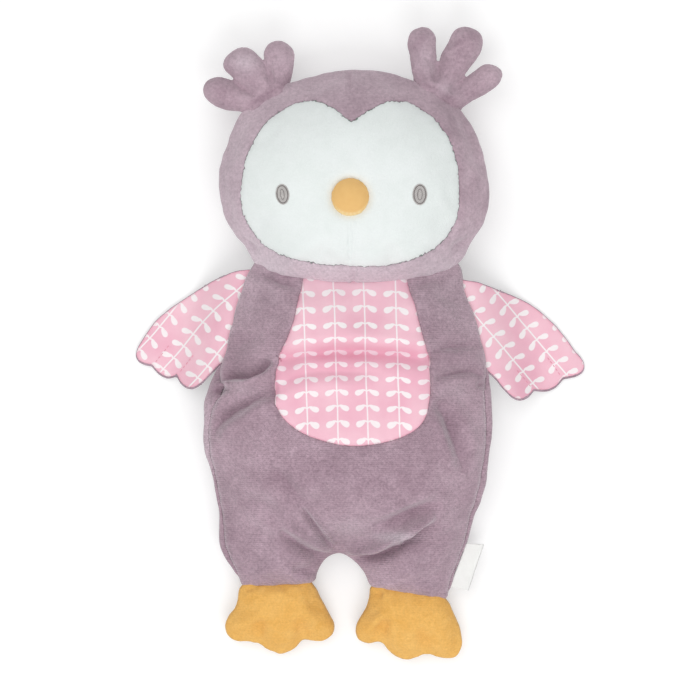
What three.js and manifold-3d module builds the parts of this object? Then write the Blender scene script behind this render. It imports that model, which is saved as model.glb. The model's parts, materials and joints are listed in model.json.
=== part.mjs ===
// Plush owl, lying on its back on a flat surface. Millimetres, +Z up, +Y towards the crown of the head,
// origin on the surface under the middle of the belly.
// Each stuffed part is a pair of cloth panels sewn edge to edge round a filling. The form of a part is an
// outline that swells with the distance from its seam. The panels and the filling are layers of that form.
// Head, ears, wings, feet and label each hang on a straight sewn line, which is where they fold.
import * as THREE from 'three';
import { mergeVertices } from 'three/addons/utils/BufferGeometryUtils.js';
import Module from 'manifold-3d';

const wasm = await Module();
wasm.setup();

// Cloth and sewing
const plushThickness = 1.6;
const cottonThickness = 0.9;
const seamGap = 0.3; // between two panels sewn together
const fillingGap = 0.7; // between cloth and filling
const seamEdge = 0.9; // half the thickness of a stuffed part along its seam
const foldGap = 0.7; // between two parts that fold along the line they share
const overrun = 8; // how far a cutting block reaches past what it cuts
const outlineStep = 14; // spacing of the points round a large outline
const limbStep = 6.2; // spacing of the points round an ear, wing or foot

// Body, from the neck line down to the ankles
const bodyWidth = 149;
const bodyLength = 161;
const bodyFront = 23; // height of the belly above the side seam
const bodyBack = 26; // depth of the back below it, before the surface flattens it
const bodyReach = 40; // distance from the seam at which the body is full
const bodyCentreX = -1.3;
const neckY = 78; // lowest point of the neck line
const neckWidthShare = 0.718; // width of the neck line, in body widths
const neckCentreX = 2.9;
const neckRise = 8.6; // how much higher the neck line's two ends are
const seamHeight = 22; // side seam of head and body above the surface
const ankleHeight = 12; // the same seam at the legs
const flankSlopeShares = [0.52, 0.82]; // where the side seam starts and ends its way down, in body lengths

// Head
const headWidth = 141;
const headHeight = 109;
const headCentreX = 2.2;
const headFront = 37;
const headBack = 27;
const headReach = 50; // distance from the seam at which the head is full
const chinReach = 24; // the same distance at the chin, which is rounder
const nodAxisShare = 0.4; // place of the nod axis between the neck line's lowest point and its ends

// Face
const eyeWidth = 8.2;
const eyeHeight = 11.6;
const eyeThickness = 0.8;
const noseRadius = 9.7;
const noseHeight = 8.5;

// Ears, wings and feet: how far each reaches from the line it is sewn to, and how much it swells
const leftEarReach = 29.2;
const rightEarReach = 39.8;
const earSwell = 7.5;
const earFullReach = 8.5; // distance from the seam at which an ear is full
const leftWingReach = 45;
const rightWingReach = 49.5;
const wingSwell = 1.3; // thickness of a wing's two cloths, each
const wingLandingShare = 0.62; // share of the reach over which a wing comes down to the surface
const leftFootReach = 36.7;
const rightFootReach = 33.8;
const footSwell = 9;
const footFullReach = 13;
const toeHeight = 6; // height of the foot's seam at the toes

// Label: a ribbon folded double
const labelWidth = 6.6;
const ribbonThickness = 0.35;
const labelFold = 0.5; // inner radius of the fold at its free edge

const colours = {
  plush: 0xb3a0ae,
  face: 0xe9eeec,
  print: 0xf3bdcd,
  yellow: 0xeebb66,
  thread: 0x9c9e99,
  ribbon: 0xf4f4f2,
  filling: 0xf6f5f0,
};

const point = (x, y) => new THREE.Vector2(x, y);

// Points of an outline from shares of two sizes.
function scaled(shares, sizeX, sizeY) {
  return shares.map(([x, y]) => point(x * sizeX, y * sizeY));
}

// Evenly spaced points round a path whose stretches are straight or smooth.
function sampled(path, step) {
  return path.curves.flatMap((curve) => {
    const count = Math.max(2, Math.round(curve.getLength() / step));
    return curve.getSpacedPoints(count).slice(0, -1);
  });
}

function distanceToOutline(p, outline) {
  const nearest = outline.map((a, i) => {
    const side = outline[(i + 1) % outline.length].clone().sub(a);
    const from = p.clone().sub(a);
    const share = THREE.MathUtils.clamp(from.dot(side) / side.lengthSq(), 0, 1);
    return from.distanceTo(side.multiplyScalar(share));
  });
  return Math.min(...nearest);
}

// 0 at the seam, 1 where the form is full.
function swell(share) {
  const swellPower = 0.85;
  return Math.sin((Math.min(share, 1) * Math.PI) / 2) ** swellPower;
}

// A closed surface from rings of points, between two middle points.
function stack(rings, top, bottom) {
  const count = rings[0].length;
  const vertices = [...rings.flat(), top, bottom];
  const topIndex = rings.length * count;
  const faces = [];
  for (let i = 0; i < count; i += 1) {
    const next = (i + 1) % count;
    faces.push(topIndex, i, next);
    for (let r = 0; r < rings.length - 1; r += 1) {
      const here = r * count;
      const below = here + count;
      faces.push(here + i, below + i, here + next, here + next, below + i, below + next);
    }
    const last = topIndex - count;
    faces.push(topIndex + 1, last + next, last + i);
  }
  const geometry = new THREE.BufferGeometry().setFromPoints(vertices);
  geometry.setIndex(faces);
  return geometry;
}

// The surface of a stuffed form, which swells to both sides of its seam and lies flat where it rests.
function stuffed(form, ringShares = form.ringShares) {
  const { outline, centre } = form;
  const place = (p, ring, side) => {
    const here = centre.clone().lerp(p, ring);
    const full = side > 0 ? form.front : form.back;
    const rise = (full - seamEdge) * swell(distanceToOutline(here, outline) / form.reach(here.y));
    const z = form.seam(here.y) + side * (seamEdge + rise);
    return new THREE.Vector3(here.x, here.y, Math.max(z, form.floor));
  };
  const ringsOf = (side) => ringShares.map((ring) => outline.map((p) => place(p, ring, side)));
  const rings = [...ringsOf(1).reverse(), ...ringsOf(-1)];
  return stack(rings, place(centre, 0, 1), place(centre, 0, -1));
}

function solidOf(geometry) {
  const bare = geometry.clone();
  bare.deleteAttribute('normal');
  bare.deleteAttribute('uv');
  const merged = mergeVertices(bare);
  return new wasm.Manifold(
    new wasm.Mesh({
      numProp: 3,
      vertProperties: merged.attributes.position.array,
      triVerts: new Uint32Array(merged.index.array),
    }),
  );
}

function geometryOf(solid) {
  const { vertProperties, triVerts } = solid.getMesh();
  const geometry = new THREE.BufferGeometry();
  geometry.setAttribute('position', new THREE.BufferAttribute(vertProperties, 3));
  geometry.setIndex(new THREE.BufferAttribute(triVerts, 1));
  return geometry;
}

function pieceOf(name, solid, color, roughness) {
  const material = new THREE.MeshStandardMaterial({ color, roughness, metalness: 0 });
  const mesh = new THREE.Mesh(geometryOf(solid), material);
  mesh.name = name;
  return mesh;
}

// Everything inside an outline, above and below its seam. The outline moves inwards by an amount, or
// outwards where that is negative.
function prism(outline, amount = 0) {
  const half = seamHeight + headFront + overrun;
  const section = new wasm.CrossSection([outline.map((p) => [p.x, p.y])], 'Positive');
  return section.offset(-amount, 'Miter').extrude(2 * half).translate([0, 0, -half]);
}

// A shape drawn in the y-z plane, extruded along x to both sides of it.
function acrossX(shape, width) {
  const geometry = new THREE.ExtrudeGeometry(shape, { depth: width, bevelEnabled: false });
  const [x, y, z] = [new THREE.Vector3(1, 0, 0), new THREE.Vector3(0, 1, 0), new THREE.Vector3(0, 0, 1)];
  return geometry.applyMatrix4(new THREE.Matrix4().makeBasis(y, z, x)).translate(-width / 2, 0, 0);
}

// Everything on one side of a seam whose height follows y: side 1 is above it, -1 below it.
function seamSide(profile, side, width) {
  const far = side * (seamHeight + headFront + overrun);
  const shifted = profile.map((p) => point(p.x, p.y + (side * seamGap) / 2));
  const shape = new THREE.Shape([...shifted, point(profile.at(-1).x, far), point(profile[0].x, far)]);
  return solidOf(acrossX(shape, width));
}

// A layer of cloth that follows a seam, between two distances above it.
function layer(profile, low, high, width) {
  const lower = profile.map((p) => point(p.x, p.y + low));
  const upper = profile.map((p) => point(p.x, p.y + high));
  return solidOf(acrossX(new THREE.Shape([...lower, ...upper.reverse()]), width));
}

// The second value of a profile at a place along its first.
function valueAlong(profile) {
  return (y) => {
    const next = profile.findIndex((p) => p.x >= y);
    if (next <= 0) return next === 0 ? profile[0].y : profile.at(-1).y;
    const [a, b] = [profile[next - 1], profile[next]];
    return THREE.MathUtils.mapLinear(y, a.x, b.x, a.y, b.y);
  };
}

// A solid, moved up.
const raised = (solid, amount) => solidOf(geometryOf(solid).translate(0, 0, amount));

// The part of a solid that lies deeper than an amount inside it, and than another inside its outline.
function within(solid, outline, depth, sideDepth = depth) {
  return raised(solid, depth).intersect(raised(solid, -depth)).intersect(prism(outline, sideDepth));
}

// The two panels of a form's cloth, and the filling inside them, which may have fewer rings.
function sewn(form, width) {
  const cavity = within(solidOf(stuffed(form, form.innerRingShares)), form.outline, plushThickness);
  const cloth = solidOf(stuffed(form)).subtract(cavity);
  return {
    front: cloth.intersect(seamSide(form.profile, 1, width)),
    back: cloth.intersect(seamSide(form.profile, -1, width)),
    filling: within(cavity, form.outline, fillingGap, plushThickness + fillingGap),
  };
}

const level = (height, length) => [point(-length, height), point(length, height)];

// A group whose origin lies on a fold line and whose x axis runs along it from start to end.
// The sewn-on part lies to its left, across the fold gap.
function foldFrame(start, end, height) {
  const along = end.clone().sub(start).normalize();
  const outwards = point(-along.y, along.x);
  const origin = start.clone().addScaledVector(outwards, foldGap + seamEdge);
  const frame = new THREE.Group();
  frame.position.set(origin.x, origin.y, height);
  frame.rotation.z = Math.atan2(along.y, along.x);
  return frame;
}

// A point of a part in its fold frame, from its shares along the fold and away from it.
// A mirrored part has its shares running from the fold's far end.
function hungPoint([along, away], foldLength, reach, mirrored) {
  return point((mirrored ? 1 - along : along) * foldLength, away * reach - foldGap - seamEdge);
}

// The outline of a part in its fold frame: straight where it is sewn on, smooth through the free points.
function hungOutline(shares, foldLength, reach, mirrored) {
  const inOrder = mirrored ? shares : [...shares].reverse();
  const free = inOrder.map((share) => hungPoint(share, foldLength, reach, mirrored));
  const start = point(foldGap, -seamEdge);
  const path = new THREE.Path();
  path.moveTo(...start);
  path.lineTo(foldLength - foldGap, -seamEdge);
  path.splineThru([...free, start]);
  return sampled(path, limbStep);
}

// Body
const neckWidth = bodyWidth * neckWidthShare;
const neckAt = (share) => point(neckCentreX + (share * neckWidth) / 2, neckY + neckRise * share ** 4);
const bodyPoint = ([x, y]) => point(bodyCentreX + (x * bodyWidth) / 2, neckY - y * bodyLength);

const foldShares = {
  leftWing: [[-0.87, 0.275], [-0.672, -0.029]], // armpit, shoulder
  rightWing: [[0.798, 0.003], [0.986, 0.31]], // shoulder, armpit
  leftAnkle: [[-0.22, 0.968], [-0.752, 0.989]], // inner, outer
  rightAnkle: [[0.691, 1.037], [0.147, 0.985]], // outer, inner
  label: [[0.845, 0.842], [0.765, 0.965]],
};
const leftWingFold = foldShares.leftWing.map(bodyPoint);
const rightWingFold = foldShares.rightWing.map(bodyPoint);
const leftAnkle = foldShares.leftAnkle.map(bodyPoint);
const rightAnkle = foldShares.rightAnkle.map(bodyPoint);
const labelLine = foldShares.label.map(bodyPoint);

function bodyOutline() {
  const leftSideShares = [
    [-0.93, 0.33], [-0.952, 0.4], [-0.958, 0.48], [-0.935, 0.58], [-0.895, 0.68], [-0.868, 0.77],
    [-0.852, 0.85], [-0.8, 0.925],
  ];
  const crotchShares = [
    [-0.205, 0.935], [-0.155, 0.903], [-0.066, 0.887], [0.017, 0.893], [0.09, 0.92], [0.13, 0.955],
  ];
  const rightSideShares = [[0.885, 0.775], [0.925, 0.69], [0.955, 0.6], [0.975, 0.5], [0.985, 0.4]];
  const neckShares = [0.8, 0.5, 0.17, -0.17, -0.5, -0.8];
  const path = new THREE.Path();
  path.moveTo(...neckAt(1));
  path.splineThru([...neckShares.map(neckAt), neckAt(-1)]);
  path.lineTo(...leftWingFold[1]);
  path.lineTo(...leftWingFold[0]);
  path.splineThru([...leftSideShares.map(bodyPoint), leftAnkle[1]]);
  path.lineTo(...leftAnkle[0]);
  path.splineThru([...crotchShares.map(bodyPoint), rightAnkle[1]]);
  path.lineTo(...rightAnkle[0]);
  path.lineTo(...labelLine[1]);
  path.lineTo(...labelLine[0]);
  path.splineThru([...rightSideShares.map(bodyPoint), rightWingFold[1]]);
  path.lineTo(...rightWingFold[0]);
  path.lineTo(...neckAt(1));
  return sampled(path, outlineStep);
}

function bellyOutline() {
  // The sides and the rounded foot of the printed panel. Its top runs on past the neck line.
  const bellyShares = [
    [0.42, -0.1], [0.425, 0.0], [0.475, 0.09], [0.53, 0.18], [0.57, 0.27], [0.588, 0.365],
    [0.575, 0.42], [0.53, 0.467], [0.45, 0.497], [0.33, 0.52], [0.17, 0.535], [0.017, 0.537],
    [-0.138, 0.53], [-0.277, 0.505], [-0.387, 0.472], [-0.472, 0.435], [-0.504, 0.385],
    [-0.511, 0.343], [-0.48, 0.27], [-0.387, 0.156], [-0.332, 0.055], [-0.297, 0.0], [-0.29, -0.1],
  ];
  const shape = new THREE.Path();
  const points = bellyShares.map(bodyPoint).reverse();
  shape.moveTo(points[0].x, points[0].y);
  shape.splineThru(points.slice(1));
  return [...sampled(shape, outlineStep), points.at(-1)];
}

const bodyMiddleShares = [0.017, 0.484];
const bodyRingShares = [1, 0.93, 0.8, 0.58, 0.3]; // where head and body have their rings, from the middle out
const bodyInnerRingShares = [1, 0.8, 0.3];

function makeBody() {
  const [slopeStart, slopeEnd] = flankSlopeShares.map((share) => neckY - share * bodyLength);
  const reach = bodyLength + neckY + overrun;
  const profile = [
    point(-reach, ankleHeight),
    point(slopeEnd, ankleHeight),
    point(slopeStart, seamHeight),
    point(reach, seamHeight),
  ];
  const form = {
    outline: bodyOutline(),
    centre: bodyPoint(bodyMiddleShares),
    ringShares: bodyRingShares,
    innerRingShares: bodyInnerRingShares,
    front: bodyFront,
    back: bodyBack,
    reach: () => bodyReach,
    floor: 0,
    profile,
    seam: valueAlong(profile),
  };
  const { front, back, filling } = sewn(form, bodyWidth + 4 * overrun);
  const belly = front.intersect(prism(bellyOutline(), seamGap / 2));
  const surround = front.subtract(prism(bellyOutline(), -seamGap / 2));
  const body = new THREE.Group();
  body.add(
    pieceOf('body_front', surround, colours.plush, 0.9),
    pieceOf('belly_panel', belly, colours.print, 0.8),
    pieceOf('body_back', back, colours.plush, 0.9),
    pieceOf('body_filling', filling, colours.filling, 1),
  );
  return body;
}

// Head, in a frame whose origin lies on the nod axis
const nodAxis = point(0, neckY + neckRise * nodAxisShare);
const headCentre = point(headCentreX, neckY + foldGap + headHeight / 2 - nodAxis.y);
const headPoint = ([x, y]) => point(headCentre.x + (x * headWidth) / 2, headCentre.y + (y * headHeight) / 2);
const rightEarFoldShares = [[0.434, 0.917], [0.792, 0.643]]; // inner, outer
const leftEarFoldShares = [[-0.824, 0.617], [-0.476, 0.9]]; // outer, inner
const rightEarFold = rightEarFoldShares.map(headPoint);
const leftEarFold = leftEarFoldShares.map(headPoint);

function headOutline() {
  const rightShares = [
    [0.84, -0.64], [0.95, -0.45], [0.998, -0.22], [0.98, 0.0], [0.945, 0.22], [0.88, 0.43],
  ];
  const crownShares = [[0.27, 0.975], [0.13, 1.0], [0.0, 1.0], [-0.14, 0.995], [-0.27, 0.965], [-0.4, 0.92]];
  const leftShares = [
    [-0.9, 0.43], [-0.955, 0.225], [-1.0, 0.0], [-0.99, -0.22], [-0.945, -0.44], [-0.84, -0.62],
  ];
  const chinShares = [-0.8, -0.5, -0.17, 0.17, 0.5, 0.8];
  const chinAt = (share) => neckAt(share).add(point(0, foldGap - nodAxis.y));
  const path = new THREE.Path();
  path.moveTo(...chinAt(1));
  path.splineThru([...rightShares.map(headPoint), rightEarFold[1]]);
  path.lineTo(...rightEarFold[0]);
  path.splineThru([...crownShares.map(headPoint), leftEarFold[1]]);
  path.lineTo(...leftEarFold[0]);
  path.splineThru([...leftShares.map(headPoint), chinAt(-1)]);
  path.splineThru([...chinShares.map(chinAt), chinAt(1)]);
  return sampled(path, outlineStep);
}

function faceOutline() {
  // From the peak between the brows, anticlockwise round to it again.
  const faceShares = [
    [-0.14, 0.67], [-0.27, 0.71], [-0.41, 0.717], [-0.54, 0.64], [-0.65, 0.53], [-0.73, 0.38],
    [-0.8, 0.22], [-0.835, 0.04], [-0.843, -0.14], [-0.832, -0.33], [-0.775, -0.5], [-0.695, -0.64],
    [-0.585, -0.745], [-0.445, -0.8], [-0.23, -0.85], [-0.03, -0.865], [0.18, -0.86], [0.385, -0.81],
    [0.53, -0.74], [0.645, -0.645], [0.735, -0.5], [0.775, -0.33], [0.777, -0.14], [0.765, 0.04],
    [0.73, 0.22], [0.675, 0.39], [0.59, 0.535], [0.48, 0.65], [0.35, 0.72], [0.21, 0.71], [0.07, 0.61],
  ];
  const peakShares = [-0.035, 0.525];
  const path = new THREE.Path();
  path.moveTo(...headPoint(peakShares));
  path.splineThru([...faceShares, peakShares].map(headPoint));
  return sampled(path, outlineStep);
}

// A rounded button of cloth, revolved about its axis, with its open foot below the face it is sewn to.
function noseBud(radius, height, sink) {
  const budShares = [[0.45, 0.97], [0.78, 0.83], [0.96, 0.56], [1, 0.28], [0.93, 0]];
  const profile = [
    point(0, -sink),
    point(radius * budShares.at(-1)[0], -sink),
    ...scaled([...budShares].reverse(), radius, height),
    point(0, height),
  ];
  const roundSteps = 16;
  return new THREE.LatheGeometry(profile, roundSteps).rotateX(Math.PI / 2);
}

const noseShares = [-0.032, -0.215];

function makeNose(surface) {
  const place = headPoint(noseShares);
  const bud = (depth, sink) => {
    const geometry = noseBud(noseRadius - depth, noseHeight - depth, sink);
    return solidOf(geometry.translate(place.x, place.y, headFront));
  };
  const cover = bud(0, overrun).subtract(bud(cottonThickness, 2 * overrun)).subtract(surface);
  const filling = bud(cottonThickness + seamGap, overrun).subtract(surface);
  return [
    pieceOf('nose_cover', cover, colours.yellow, 0.6),
    pieceOf('nose_filling', filling, colours.filling, 1),
  ];
}

const leftEyeShares = [-0.535, -0.195];
const rightEyeShares = [0.48, -0.195];

// An oval of embroidery that lies on the face.
function makeEye(name, shares, headSolid) {
  const ovalSteps = 18;
  const place = headPoint(shares);
  const oval = new THREE.EllipseCurve(place.x, place.y, eyeWidth / 2, eyeHeight / 2);
  const rim = prism(oval.getPoints(ovalSteps).slice(0, -1));
  const stitches = raised(headSolid, seamGap + eyeThickness).subtract(raised(headSolid, seamGap));
  return pieceOf(name, stitches.intersect(rim), colours.thread, 0.7);
}

const headMiddleShares = [0, -0.02];

function makeHead() {
  const profile = level(0, headHeight + overrun);
  const chinY = neckY + foldGap - nodAxis.y;
  const form = {
    outline: headOutline(),
    centre: headPoint(headMiddleShares),
    ringShares: bodyRingShares,
    innerRingShares: bodyInnerRingShares,
    front: headFront,
    back: headBack,
    reach: valueAlong([point(chinY, chinReach), point(chinY + headReach, headReach)]),
    floor: -seamHeight,
    profile,
    seam: valueAlong(profile),
  };
  const { front, back, filling } = sewn(form, headWidth + 4 * overrun);
  const face = front.intersect(prism(faceOutline(), seamGap / 2));
  const hood = front.subtract(prism(faceOutline(), -seamGap / 2));
  const whole = solidOf(stuffed(form));
  const head = new THREE.Group();
  head.position.set(nodAxis.x, nodAxis.y, seamHeight);
  head.add(
    pieceOf('head_hood', hood, colours.plush, 0.9),
    pieceOf('face_panel', face, colours.face, 0.9),
    pieceOf('head_back', back, colours.plush, 0.9),
    pieceOf('head_filling', filling, colours.filling, 1),
    makeEye('eye_left', leftEyeShares, whole),
    makeEye('eye_right', rightEyeShares, whole),
    ...makeNose(raised(whole, seamGap)),
  );
  return head;
}

// Ears: three fingers each
const rightEarShares = [
  [-0.175, 0.19], [-0.4, 0.355], [-0.475, 0.495], [-0.445, 0.595], [-0.335, 0.675], [-0.19, 0.695],
  [-0.05, 0.65], [0.045, 0.555], [0.16, 0.45], [0.21, 0.53], [0.195, 0.66], [0.18, 0.81], [0.245, 0.905],
  [0.34, 0.965], [0.515, 1.0], [0.67, 0.965], [0.76, 0.885], [0.805, 0.78], [0.795, 0.625], [0.765, 0.45],
  [0.85, 0.515], [0.92, 0.59], [1.015, 0.69], [1.155, 0.73], [1.285, 0.7], [1.36, 0.615], [1.355, 0.495],
  [1.295, 0.37], [1.15, 0.215], [1.045, 0.07],
];
const leftEarShares = [
  [-0.245, 0.19], [-0.37, 0.375], [-0.36, 0.56], [-0.25, 0.71], [-0.05, 0.755], [0.115, 0.7],
  [0.175, 0.595], [0.225, 0.73], [0.25, 0.855], [0.335, 0.945], [0.565, 1.0], [0.77, 0.965], [0.86, 0.88],
  [0.875, 0.71], [0.845, 0.58], [0.94, 0.67], [1.06, 0.765], [1.275, 0.78], [1.415, 0.685], [1.465, 0.51],
  [1.42, 0.33], [1.28, 0.195], [1.105, 0.055],
];

const leftEarMiddleShares = [0.45, 0.12];
const rightEarMiddleShares = [0.48, 0.05];
const limbRingShares = [1, 0.8, 0.45];
const footInnerRingShares = [1, 0.45];

function makeEar(side, fold, shares, middleShares, reach, mirrored) {
  const foldLength = fold[0].distanceTo(fold[1]);
  const span = 2 * (foldLength + reach + overrun);
  const profile = level(0, span);
  const form = {
    outline: hungOutline(shares, foldLength, reach, mirrored),
    centre: hungPoint(middleShares, foldLength, reach, mirrored),
    ringShares: limbRingShares,
    front: earSwell,
    back: earSwell,
    reach: () => earFullReach,
    floor: -seamHeight,
    profile,
    seam: valueAlong(profile),
  };
  const { front, back, filling } = sewn(form, 2 * span);
  const ear = foldFrame(fold[0], fold[1], 0);
  ear.add(
    pieceOf(`ear_${side}_front`, front, colours.plush, 0.9),
    pieceOf(`ear_${side}_back`, back, colours.plush, 0.9),
    pieceOf(`ear_${side}_filling`, filling, colours.filling, 1),
  );
  return ear;
}

// Wings: a printed front and a plush back, three feathers wide at the tip
const wingShares = [
  [0.05, 0.12], [0.14, 0.275], [0.24, 0.4], [0.35, 0.55], [0.48, 0.67], [0.63, 0.785], [0.78, 0.875],
  [0.93, 0.945], [1.06, 0.99], [1.165, 1.0], [1.225, 0.95], [1.245, 0.87], [1.23, 0.75], [1.28, 0.67],
  [1.3, 0.58], [1.295, 0.505], [1.265, 0.43], [1.3, 0.36], [1.32, 0.275], [1.31, 0.21], [1.26, 0.15],
  [1.17, 0.11], [1.06, 0.06],
];

function makeWing(side, fold, reach, mirrored) {
  const foldLength = fold[0].distanceTo(fold[1]);
  const landing = reach * wingLandingShare;
  const drop = seamHeight - wingSwell - seamGap;
  const fallSteps = 6;
  const fall = Array.from({ length: fallSteps + 1 }, (unused, i) => {
    const share = i / fallSteps;
    return point(landing * share, (-drop * (1 - Math.cos(Math.PI * share))) / 2);
  });
  const far = reach + foldLength + overrun;
  const profile = [point(-far, 0), ...fall, point(far, -drop)];
  const outline = prism(hungOutline(wingShares, foldLength, reach, mirrored));
  const width = 4 * foldLength;
  const front = layer(profile, seamGap / 2, wingSwell, width).intersect(outline);
  const back = layer(profile, -wingSwell, -seamGap / 2, width).intersect(outline);
  const wing = foldFrame(fold[0], fold[1], seamHeight);
  wing.add(
    pieceOf(`wing_${side}_front`, front, colours.print, 0.8),
    pieceOf(`wing_${side}_back`, back, colours.plush, 0.9),
  );
  return wing;
}

// Feet: three toes each
const leftFootShares = [
  [-0.025, 0.143], [-0.12, 0.367], [-0.186, 0.62], [-0.13, 0.8], [0.005, 0.865], [0.228, 0.828],
  [0.38, 0.953], [0.54, 1.0], [0.717, 0.906], [0.85, 0.786], [1.018, 0.78], [1.168, 0.71],
  [1.24, 0.547], [1.2, 0.4], [1.043, 0.197],
];
const rightFootShares = [
  [0.03, 0.157], [-0.03, 0.485], [-0.056, 0.695], [0.03, 0.844], [0.172, 0.861], [0.292, 0.832],
  [0.404, 0.923], [0.527, 0.993], [0.638, 1.0], [0.766, 0.933], [0.916, 0.835], [1.06, 0.86],
  [1.225, 0.846], [1.302, 0.73], [1.288, 0.564], [1.19, 0.316], [1.06, 0.09],
];

const footMiddleShares = [0.5, 0.42];

function makeFoot(side, fold, shares, reach, mirrored) {
  const foldLength = fold[0].distanceTo(fold[1]);
  const far = reach + foldLength + overrun;
  const drop = ankleHeight - toeHeight;
  const profile = [point(-far, 0), point(0, 0), point(reach, -drop), point(far, -drop)];
  const form = {
    outline: hungOutline(shares, foldLength, reach, mirrored),
    centre: hungPoint(footMiddleShares, foldLength, reach, mirrored),
    ringShares: limbRingShares,
    innerRingShares: footInnerRingShares,
    front: footSwell,
    back: footSwell,
    reach: () => footFullReach,
    floor: -ankleHeight,
    profile,
    seam: valueAlong(profile),
  };
  const { front, back, filling } = sewn(form, 4 * foldLength);
  const foot = foldFrame(fold[0], fold[1], ankleHeight);
  foot.add(
    pieceOf(`foot_${side}_top`, front, colours.yellow, 0.9),
    pieceOf(`foot_${side}_sole`, back, colours.yellow, 0.9),
    pieceOf(`foot_${side}_filling`, filling, colours.filling, 1),
  );
  return foot;
}

// Label: one ribbon that goes out and back, drawn as its edge and extruded along the seam
function makeLabel() {
  const length = labelLine[0].distanceTo(labelLine[1]);
  const outer = labelFold + ribbonThickness;
  const foldX = labelWidth - outer;
  const root = -outer;
  const shape = new THREE.Shape();
  shape.moveTo(root, outer);
  shape.lineTo(root, labelFold);
  shape.lineTo(foldX, labelFold);
  shape.absarc(foldX, 0, labelFold, Math.PI / 2, -Math.PI / 2, true);
  shape.lineTo(root, -labelFold);
  shape.lineTo(root, -outer);
  shape.lineTo(foldX, -outer);
  shape.absarc(foldX, 0, outer, -Math.PI / 2, Math.PI / 2, false);
  const ribbon = solidOf(acrossX(shape, length).translate(length / 2, 0, 0));
  const label = foldFrame(labelLine[0], labelLine[1], ankleHeight);
  label.add(pieceOf('side_label', ribbon, colours.ribbon, 0.6));
  return label;
}

const head = makeHead();
head.add(
  makeEar('left', leftEarFold, leftEarShares, leftEarMiddleShares, leftEarReach, true),
  makeEar('right', rightEarFold, rightEarShares, rightEarMiddleShares, rightEarReach, false),
);

const owl = new THREE.Group();
owl.add(
  makeBody(),
  head,
  makeWing('left', leftWingFold, leftWingReach, true),
  makeWing('right', rightWingFold, rightWingReach, false),
  makeFoot('left', leftAnkle, leftFootShares, leftFootReach, false),
  makeFoot('right', rightAnkle, rightFootShares, rightFootReach, true),
  makeLabel(),
);

export default owl;
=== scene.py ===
import json
import math

import bmesh
import bpy
import numpy as np
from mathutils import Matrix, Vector, noise
from mathutils.bvhtree import BVHTree
from mathutils.kdtree import KDTree


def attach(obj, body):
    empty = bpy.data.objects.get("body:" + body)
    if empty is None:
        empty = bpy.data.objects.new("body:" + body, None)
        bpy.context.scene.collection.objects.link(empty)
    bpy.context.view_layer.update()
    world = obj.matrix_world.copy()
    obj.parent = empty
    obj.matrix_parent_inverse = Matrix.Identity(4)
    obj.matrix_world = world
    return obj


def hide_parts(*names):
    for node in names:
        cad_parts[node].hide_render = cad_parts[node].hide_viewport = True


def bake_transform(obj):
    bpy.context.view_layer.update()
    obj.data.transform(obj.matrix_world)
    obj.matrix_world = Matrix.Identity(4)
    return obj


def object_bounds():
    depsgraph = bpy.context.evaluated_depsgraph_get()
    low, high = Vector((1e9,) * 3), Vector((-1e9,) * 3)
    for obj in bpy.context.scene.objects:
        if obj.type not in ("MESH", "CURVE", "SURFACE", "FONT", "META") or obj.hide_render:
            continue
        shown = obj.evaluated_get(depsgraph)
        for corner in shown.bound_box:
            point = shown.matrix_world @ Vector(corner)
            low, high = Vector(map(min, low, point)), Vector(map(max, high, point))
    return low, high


# A plush owl on its back. Its stuffed parts are inflated from their cut outlines, then cut into the
# cloth panels they are sewn from. Outlines are in pixels of the photograph, turned into metres by place().

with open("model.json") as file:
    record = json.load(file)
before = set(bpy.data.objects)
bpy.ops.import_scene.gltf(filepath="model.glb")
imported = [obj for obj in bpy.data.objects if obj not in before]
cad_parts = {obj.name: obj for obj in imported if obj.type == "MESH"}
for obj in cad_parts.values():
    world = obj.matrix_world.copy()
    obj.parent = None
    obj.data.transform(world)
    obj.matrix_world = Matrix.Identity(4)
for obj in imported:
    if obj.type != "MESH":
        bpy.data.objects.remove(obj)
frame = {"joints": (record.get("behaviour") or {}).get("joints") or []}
cadBox = [list(corner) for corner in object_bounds()]
joints = {joint["name"]: joint for joint in frame["joints"]}
mm = 0.001

photo = {
    "middle": (350.0, 350.0),
    "top": 25.7,  # the owl's highest and lowest pixel
    "bottom": 659.1,
    "across": 700.0,
    "seamHeight": 0.022,  # the height at which a pixel has its usual size
    "lens": 200.0,
    "sensor": 36.0,
}
pixel = (cadBox[1][1] - cadBox[0][1]) / (photo["bottom"] - photo["top"])
frameMiddle = (0.0, cadBox[1][1] - (photo["middle"][1] - photo["top"]) * pixel)
cameraAbove = photo["across"] * pixel * photo["lens"] / photo["sensor"]


def place(points, height=photo["seamHeight"]):
    # pixels to metres, for points that lie at a height above the table
    grow = pixel * (cameraAbove - (height - photo["seamHeight"])) / cameraAbove
    spots = np.array([p[:2] for p in points], float) - photo["middle"]
    return np.array(frameMiddle) + spots * (grow, -grow)


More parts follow.
